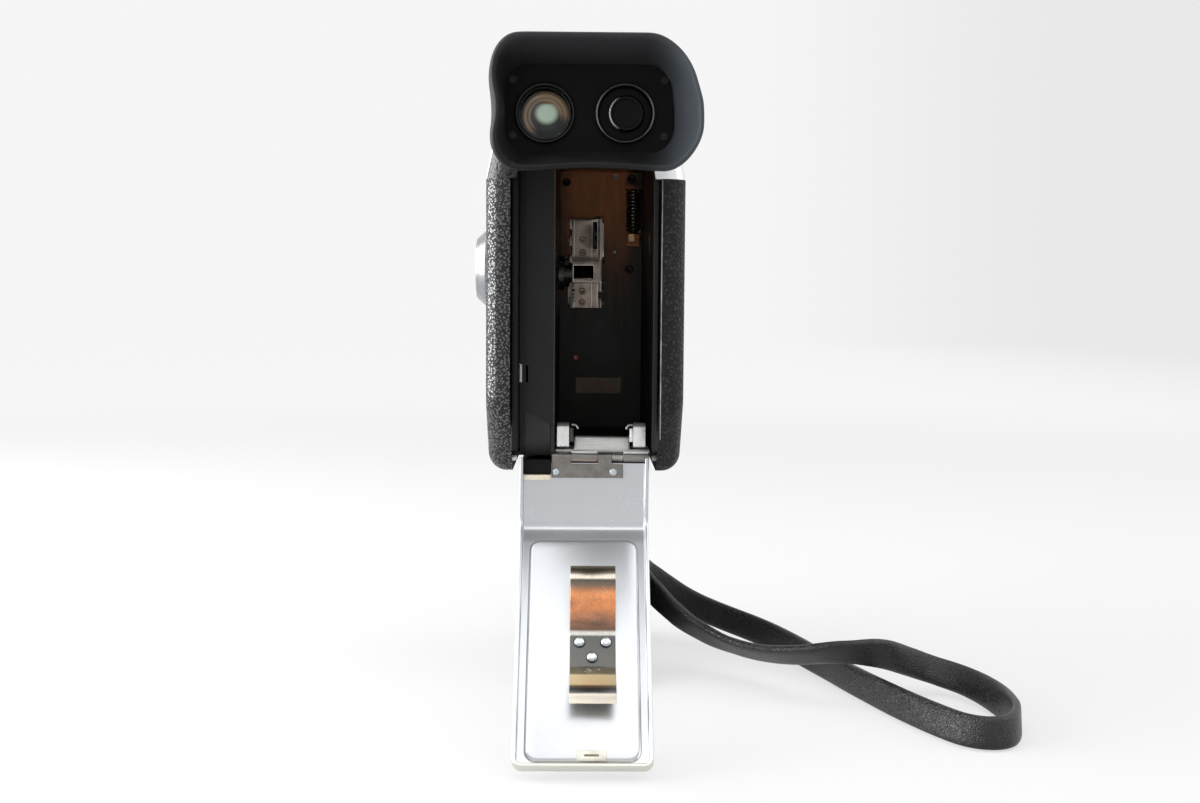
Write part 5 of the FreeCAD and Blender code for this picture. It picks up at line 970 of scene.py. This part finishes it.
# Grip. Two halves of black glass-filled nylon on a wide foot, with a fine spark-eroded grain, screwed together
# round the battery well. The release, its switch and the strap's clamp are moulded in the same black.
grip_nylon, place = new_finish("grip_nylon")
pits = place.cells(2300, "SMOOTH_F1")
cloud = place.noise(80, 4)
rubbed = place.noise(200, 5, 0.65).between(0.62, 0.8)
surface(place, pits + place.noise(1400, 2) * 0.5, 0.00007, Specular_IOR_Level=0.45,
        Base_Color=(rubbed * 0.4).mix((0.011, 0.011, 0.012), (0.035, 0.035, 0.036)),
        Roughness=cloud * 0.15 + 0.42 - rubbed * 0.08)
coat(grip_nylon, "grip_left", "grip_right", "grip_foot", "battery_cover", "trigger_switch", "strap_clamp")
release_plastic, place = new_finish("release_plastic")
cloud = place.noise(160, 3)
surface(place, place.noise(2600, 2), 0.00001, Base_Color=cloud.mix((0.013, 0.013, 0.014), (0.009, 0.009, 0.009)),
        Roughness=cloud * 0.12 + 0.16)
coat(release_plastic, "trigger")

# Eyepiece block. A black moulded housing with a satin face plate, held by four small blackened screws. The
# viewfinder's tube runs from it under the cap.
eye_satin, place = new_finish("eye_satin")
cloud = place.noise(160, 4)
surface(place, place.noise(2600, 3), 0.00003, Roughness=cloud * 0.15 + 0.45, Specular_IOR_Level=0.10,
        Base_Color=cloud.mix((0.0022, 0.0020, 0.0020), (0.0032, 0.0030, 0.0030)))
coat(eye_satin, "eyepiece_plate", "finder_tube", "eyepiece_housing")
plate_black, place = new_finish("plate_black")
cloud = place.noise(700, 3)
surface(place, cloud, 0.00002, Base_Color=cloud.between(0.4, 0.7).mix((0.006, 0.005, 0.005), (0.016, 0.014, 0.013)),
        Metallic=0.5, Roughness=cloud * 0.15 + 0.3, Specular_IOR_Level=0.3)
coat(plate_black, "plate_screws")

# Ocular. A bevelled black ring screwed into the plate over its glass. Behind the glass, stepped sleeves with a
# painted brown sheen, a paler left side and bright arcs, all painted reflections, lead down to a pale glowing spot,
# painted light that stands for the bright picture of the finder.
OCULAR = (-0.0099, 0.1598)
ocular = turned("ocular_bezel", 0.0072, -0.1172, OCULAR,
                [(0.0072, -0.0008), (0.0069, -0.0003), (0.0066, 0), (0.0062, 0.0004), (0.0058, 0.0009)])
pick(ocular, "FACE", lambda place, normal: abs(normal.y) > 0.9 and place.y > -0.1173
     and (place.x - OCULAR[0]) ** 2 + (place.z - OCULAR[1]) ** 2 < 1e-8)
bpy.ops.mesh.delete(type="FACE")
soften(ocular, 0.00012, 3, 20)
ring_black, place = new_finish("ring_black")
cloud = place.noise(300, 3)
surface(place, place.noise(2400, 2), 0.00001, Base_Color=(0.0035, 0.0035, 0.0035), Roughness=cloud * 0.12 + 0.22,
        Specular_IOR_Level=0.28)
deliver(ocular, ring_black, "camera", ["ocular_ring"], None, 40)

sleeve = turned("ocular_sleeve", 0.00568, -0.1124, OCULAR,
                [(0.0052, 0.0006), (0.0049, 0), (0.0046, 0.0022), (0.0043, 0), (0.0038, 0.0030), (0.0035, 0),
                 (0.0031, 0.0030)])
sleeve_painted_sheen, place = new_finish("sleeve_painted_sheen")
centred = place.node("Mapping", {"vector_type": "POINT"}, {0: place, 1: (-OCULAR[0], 0, -OCULAR[1])})
x, y, z = centred.parts()
flat_way = centred.node("VectorMath", {"operation": "MULTIPLY"}, {0: centred, 1: (1, 0, 1)})
out = flat_way.node("VectorMath", {"operation": "LENGTH"}, {0: flat_way}, 1)
cloud = centred.noise(420, 4)
# The brown upper right, the paler left side and the bright arcs on the steps: painted reflections.
upper_right = (x * 0.6 + z).between(0.0005, 0.0042)
left_side = (x * -1 + z * 0.2).between(0.0008, 0.0040)
arcs = out.within(0.0047, 0.00035, 0.0002).either(out.within(0.0038, 0.0003, 0.0002) * 0.8)
tone = upper_right.mix((0.012, 0.010, 0.012), (0.25, 0.13, 0.072))
tone = (left_side * 0.8).mix(tone, (0.13, 0.085, 0.080))
tone = (arcs * 0.6 * (upper_right + left_side)).mix(tone, (0.70, 0.46, 0.30))
blob_x, blob_z = x - 0.0003, (z - 0.0006) * 1.1
round_blob = centred.node("CombineXYZ", {}, {0: blob_x, 1: 0.0, 2: blob_z})
blob_out = round_blob.node("VectorMath", {"operation": "LENGTH"}, {0: round_blob}, 1)
# A pale spot that glows: painted light that stands for the view through the finder, as seen from this viewpoint.
window = blob_out.between(0.0033, 0.0016) * z.between(0.0030, 0.0027)
tone = window.mix(tone, (0.40, 0.47, 0.39))
glow = window.mix((0.0, 0.0, 0.0), (0.150, 0.180, 0.145))
surface(place, cloud, 0.00002, Base_Color=tone, Roughness=cloud * 0.15 + 0.3, Specular_IOR_Level=0.4,
        Emission_Color=glow, Emission_Strength=1.0)
deliver(sleeve, sleeve_painted_sheen, "camera", (), None, 40)
ocular_glass, place = new_finish("ocular_glass")
smear = place.noise(90, 4)
surface(place, Base_Color=(0.93, 0.97, 0.95), Roughness=smear.between(0.5, 0.8) * 0.04, Transmission_Weight=1.0,
        IOR=1.04, Coat_Weight=0.1, Coat_Roughness=0.03)
coat(ocular_glass, "ocular_lens")

# Eyepiece dial. A turned black knob with a raised rim, a deep groove inside it, and a rounded core whose face is
# sunk and matt.
DIAL = (0.0091, 0.1598)
dial_rim = turned("dial_rim", 0.0071, -0.1168, DIAL,
                  [(0.0071, -0.0017), (0.0069, -0.0003), (0.0067, -0.0001), (0.0064, 0.0001), (0.0062, 0.0004),
                   (0.0060, 0.0019)])
soften(dial_rim, 0.00010, 3, 20)
dial_core = turned("dial_core", 0.0043, -0.1164, (0.0094, 0.1598),
                   [(0.0043, -0.0014), (0.0042, -0.0005), (0.0040, -0.0003), (0.0037, -0.0001), (0.0034, 0),
                    (0.0032, 0.0003)])
soften(dial_core, 0.00012, 3, 20)
dial_piece = joined([dial_rim, dial_core])
dial_black, place = new_finish("dial_black")
x, y, z = place.parts()
flat_way = place.node("VectorMath", {"operation": "MULTIPLY"}, {0: place, 1: (1, 0, 1)})
rim_out, core_out = (flat_way.node("VectorMath", {"operation": "DISTANCE"}, {0: flat_way, 1: (middle, 0, 0.1598)}, 1)
                     for middle in (DIAL[0], 0.0094))
cloud = place.noise(260, 4)
face = core_out.between(0.0036, 0.0033)
sides = (x - 0.0091).maths("ABSOLUTE", x - 0.0091, 0).between(0.0040, 0.0065)
# Pale rings, stronger at the sides, and a pale crescent on the core's left: painted highlights.
painted_rim_highlight = rim_out.within(0.00675, 0.00010, 0.00020) * (sides * 0.7 + 0.3)
painted_core_highlight = core_out.within(0.0040, 0.00010, 0.00022) * x.between(0.0080, 0.0058)
tone = face.mix((0.0016, 0.0016, 0.0017), (0.0020, 0.0013, 0.0015))
tone = painted_rim_highlight.mix(tone, (0.30, 0.30, 0.32))
tone = painted_core_highlight.mix(tone, (0.90, 0.90, 0.95))
surface(place, place.noise(2400, 2), 0.00001, Roughness=cloud * 0.1 + face * 0.3 + 0.22, Specular_IOR_Level=0.12,
        Base_Color=tone, Metallic=painted_rim_highlight.either(painted_core_highlight) * 0.6)
deliver(dial_piece, dial_black, "dial", ["eyepiece_dial"], None, 40)

# Eyecup. A soft hood of moulded rubber, stretched over the housing. It flares to the right, is dented on the left
# where it meets the brow, and ends in a thin rolled lip.
# Each ring of it is its depth, its left and right sides, and its bottom and top.
CUP_RINGS = [(-0.1080, -0.0227, 0.0234, 0.1521, 0.1741), (-0.1125, -0.0228, 0.0237, 0.1503, 0.1745),
             (-0.1170, -0.0229, 0.0243, 0.1484, 0.1750), (-0.1210, -0.0229, 0.0250, 0.1473, 0.1756),
             (-0.1240, -0.0228, 0.0256, 0.1465, 0.1760), (-0.1280, -0.0224, 0.0264, 0.1456, 0.1766),
             (-0.1292, -0.0222, 0.0266, 0.1455, 0.1767), (-0.1299, -0.0217, 0.0262, 0.1459, 0.1763),
             (-0.1299, -0.0211, 0.0257, 0.1465, 0.1757), (-0.1293, -0.0206, 0.0251, 0.1471, 0.1752),
             (-0.1270, -0.0202, 0.0243, 0.1479, 0.1745), (-0.1240, -0.0199, 0.0232, 0.1488, 0.1736),
             (-0.1210, -0.0197, 0.0221, 0.1497, 0.1727), (-0.1185, -0.0195, 0.0212, 0.1504, 0.1719),
             (-0.1172, -0.0194, 0.0206, 0.1508, 0.1714)]
depth, left, right, bottom, top = CUP_RINGS[0]
cup = add("plane", "eyecup_hood", (right - left, top - bottom, 1), size=1,
          location=((left + right) / 2, depth, (bottom + top) / 2), rotation=(radians(90), 0, 0))
pick(cup, "VERT", lambda place, normal: True)
bpy.ops.mesh.bevel(offset=0.0062, segments=6, affect="VERTICES")
pick(cup, "EDGE", lambda place, along: max(abs(along.x), abs(along.z)) > 0.999)
bpy.ops.mesh.subdivide(number_cuts=9)
pick(cup, "FACE", lambda place, normal: True)
for before, after in zip(CUP_RINGS, CUP_RINGS[1:]):
    push(y=after[0] - before[0])
    wide = (after[2] - after[1]) / (before[2] - before[1])
    tall = (after[4] - after[3]) / (before[4] - before[3])
    middle = ((before[1] + before[2]) / 2, after[0], (before[3] + before[4]) / 2)
    bpy.ops.transform.resize(value=(wide, 1, tall), center_override=middle)
    bpy.ops.transform.translate(value=((after[1] + after[2] - before[1] - before[2]) / 2, 0,
                                       (after[3] + after[4] - before[3] - before[4]) / 2))
bpy.ops.mesh.delete(type="FACE")
pick(cup, "EDGE", lambda place, along: abs(place.y - CUP_RINGS[0][0]) < 1e-6)
bpy.ops.mesh.extrude_region_move(TRANSFORM_OT_translate={"value": (0, -0.0006, 0)})
bpy.ops.transform.resize(value=(0.925, 1, 0.960))
bpy.ops.object.mode_set(mode="OBJECT")


def swell(value, middle, reach):
    """A smooth bump of 1 at a middle value that fades to 0 at its reach."""
    share = min(abs(value - middle) / reach, 1)
    return (1 - share * share) ** 2


for corner in cup.data.vertices:
    flare = min(max((-0.112 - corner.co.y) / 0.015, 0), 1)
    if corner.co.x < -0.012:
        corner.co.x += 0.0010 * flare * swell(corner.co.z, 0.1594, 0.0075)
        corner.co.x -= 0.0003 * flare * swell(corner.co.z, 0.1480, 0.0050)
    if corner.co.x > 0.008:
        weight = flare * min((corner.co.x - 0.008) / 0.012, 1)
        corner.co.x -= 0.0030 * weight * max((corner.co.z - 0.161) / 0.0102, 0) ** 1.35
        corner.co.x -= 0.0016 * weight * max((0.1555 - corner.co.z) / 0.0085, 0) ** 1.5
        corner.co.x += 0.0004 * weight * swell(corner.co.z, 0.157, 0.008)
    if corner.co.z < 0.156:
        corner.co.z -= 0.0004 * flare * swell(corner.co.x, -0.0150, 0.0080)
        corner.co.z += 0.0005 * flare * swell(corner.co.x, 0.0020, 0.0120)
        corner.co.z -= 0.0003 * flare * swell(corner.co.x, 0.0190, 0.0070)
apply_modifier(cup, "SUBSURF", levels=2, render_levels=2)

cup_rubber, place = new_finish("cup_rubber")
x, y, z = place.parts()
cloud = place.noise(90, 5, 0.6)
fine = place.noise(2600, 3)
# The paler bluish right side and the lighter top are painted sheen, with pale specks on them, and the darker foot is
# painted shade.
painted_side_sheen = (x.between(0.0125, 0.0240) * y.between(-0.1165, -0.1185)) * (cloud * 0.5 + 0.5)
upper = z.between(0.1705, 0.1745) * y.between(-0.1165, -0.1180)
specks = place.cells(420).between(0.075, 0.035) * cloud.between(0.50, 0.56) * (painted_side_sheen + upper * 0.7)
base = (cloud * 0.5).mix((0.0165, 0.0165, 0.0172), (0.0215, 0.0215, 0.0225))
# Darker towards the foot: painted shade.
base = z.between(0.1530, 0.1480).mix(base, (0.0062, 0.0064, 0.0066))
tone = (painted_side_sheen * 0.95).mix(base, (0.080, 0.092, 0.106))
tone = (upper * 0.45).mix(tone, (0.045, 0.046, 0.049))
tone = specks.mix(tone, (0.16, 0.17, 0.17))
surface(place, fine * 0.7 + cloud * 0.3, 0.00004, Base_Color=tone, Roughness=cloud * 0.12 + 0.46,
        Specular_IOR_Level=0.18)
deliver(cup, cup_rubber, "camera", ["eyecup"], None, 60)

# Studio. A white paper sweep under and behind the camera, fading to the brightness of the wall, with a soft box
# on the left, a weak one on the right and a broad one overhead.
sweep = add("plane", "studio_sweep", size=8)
pick(sweep, "EDGE", lambda place, along: place.y > 3.9)
push(z=5)
bpy.ops.object.mode_set(mode="OBJECT")
turn_outwards(sweep)


def background_rays(tree):
    """1 for the rays that see the background: from the camera, mirrored, or through glass."""
    rays = tree.nodes.new("ShaderNodeLightPath")
    seen, mirrored, through = (Wire(tree, rays.outputs[name])
                               for name in ("Is Camera Ray", "Is Glossy Ray", "Is Transmission Ray"))
    return seen.either(mirrored).either(through)


sweep_paper, place = new_finish("sweep_paper")
tree = place.tree
x, y, z = place.parts()
flat = place.node("VectorMath", {"operation": "LENGTH"}, {0: place}, 1)
beyond = flat.between(0.25, 1.3)
fade = x.between(0.35, 1.6)
paper = place.node("BsdfDiffuse", {}, {"Color": (0.93, 0.93, 0.935, 1)})
# The glow dims towards the right: painted shade on the backdrop.
shine = fade.mix((0.945, 0.945, 0.95), (0.835, 0.835, 0.84))
glow = place.node("Emission", {}, {"Color": shine, "Strength": 1.0})
share = background_rays(tree) * (beyond * 0.30 + 0.66)
mixed = place.node("MixShader", {}, {0: share, 1: paper, 2: glow})
output = tree.nodes.new("ShaderNodeOutputMaterial")
tree.links.new(mixed.socket, output.inputs[0])
sweep.data.materials.append(sweep_paper)

world = bpy.context.scene.world or bpy.data.worlds.new("studio")
bpy.context.scene.world = world
world.use_nodes = True
sky = Wire(world.node_tree, world.node_tree.nodes.new("ShaderNodeTexCoord").outputs["Generated"])
x, y, z = sky.parts()
front_room = y.between(-0.15, -0.75) * z.within(0.0, 0.75, 0.2)
sky = front_room.mix((0.30, 0.30, 0.30), (0.185, 0.19, 0.195))
sky = background_rays(world.node_tree).mix(sky, (0.93, 0.93, 0.935))
world.node_tree.links.new(sky.socket, world.node_tree.nodes["Background"].inputs[0])
bpy.context.scene.view_settings.view_transform = "Standard"


def lamp(name, place, target, width, height, power):
    """A soft lamp at a place, turned towards its target."""
    bpy.ops.object.light_add(type="AREA", location=place)
    box = bpy.context.object
    box.name = name
    box.data.shape = "RECTANGLE"
    box.data.size = width
    box.data.size_y = height
    box.data.energy = power
    box.rotation_euler = (Vector(target) - Vector(place)).to_track_quat("-Z", "Y").to_euler()


lamp("lamp_left", (-0.80, -0.06, 0.28), (0, -0.05, 0.11), 1.0, 0.66, 13)
lamp("lamp_right", (0.95, -0.10, 0.60), (0, -0.05, 0.1), 0.5, 0.7, 2.5)
lamp("lamp_above", (-0.25, -0.46, 1.2), (-0.25, -0.46, 0.1), 2.2, 1.7, 14.5)
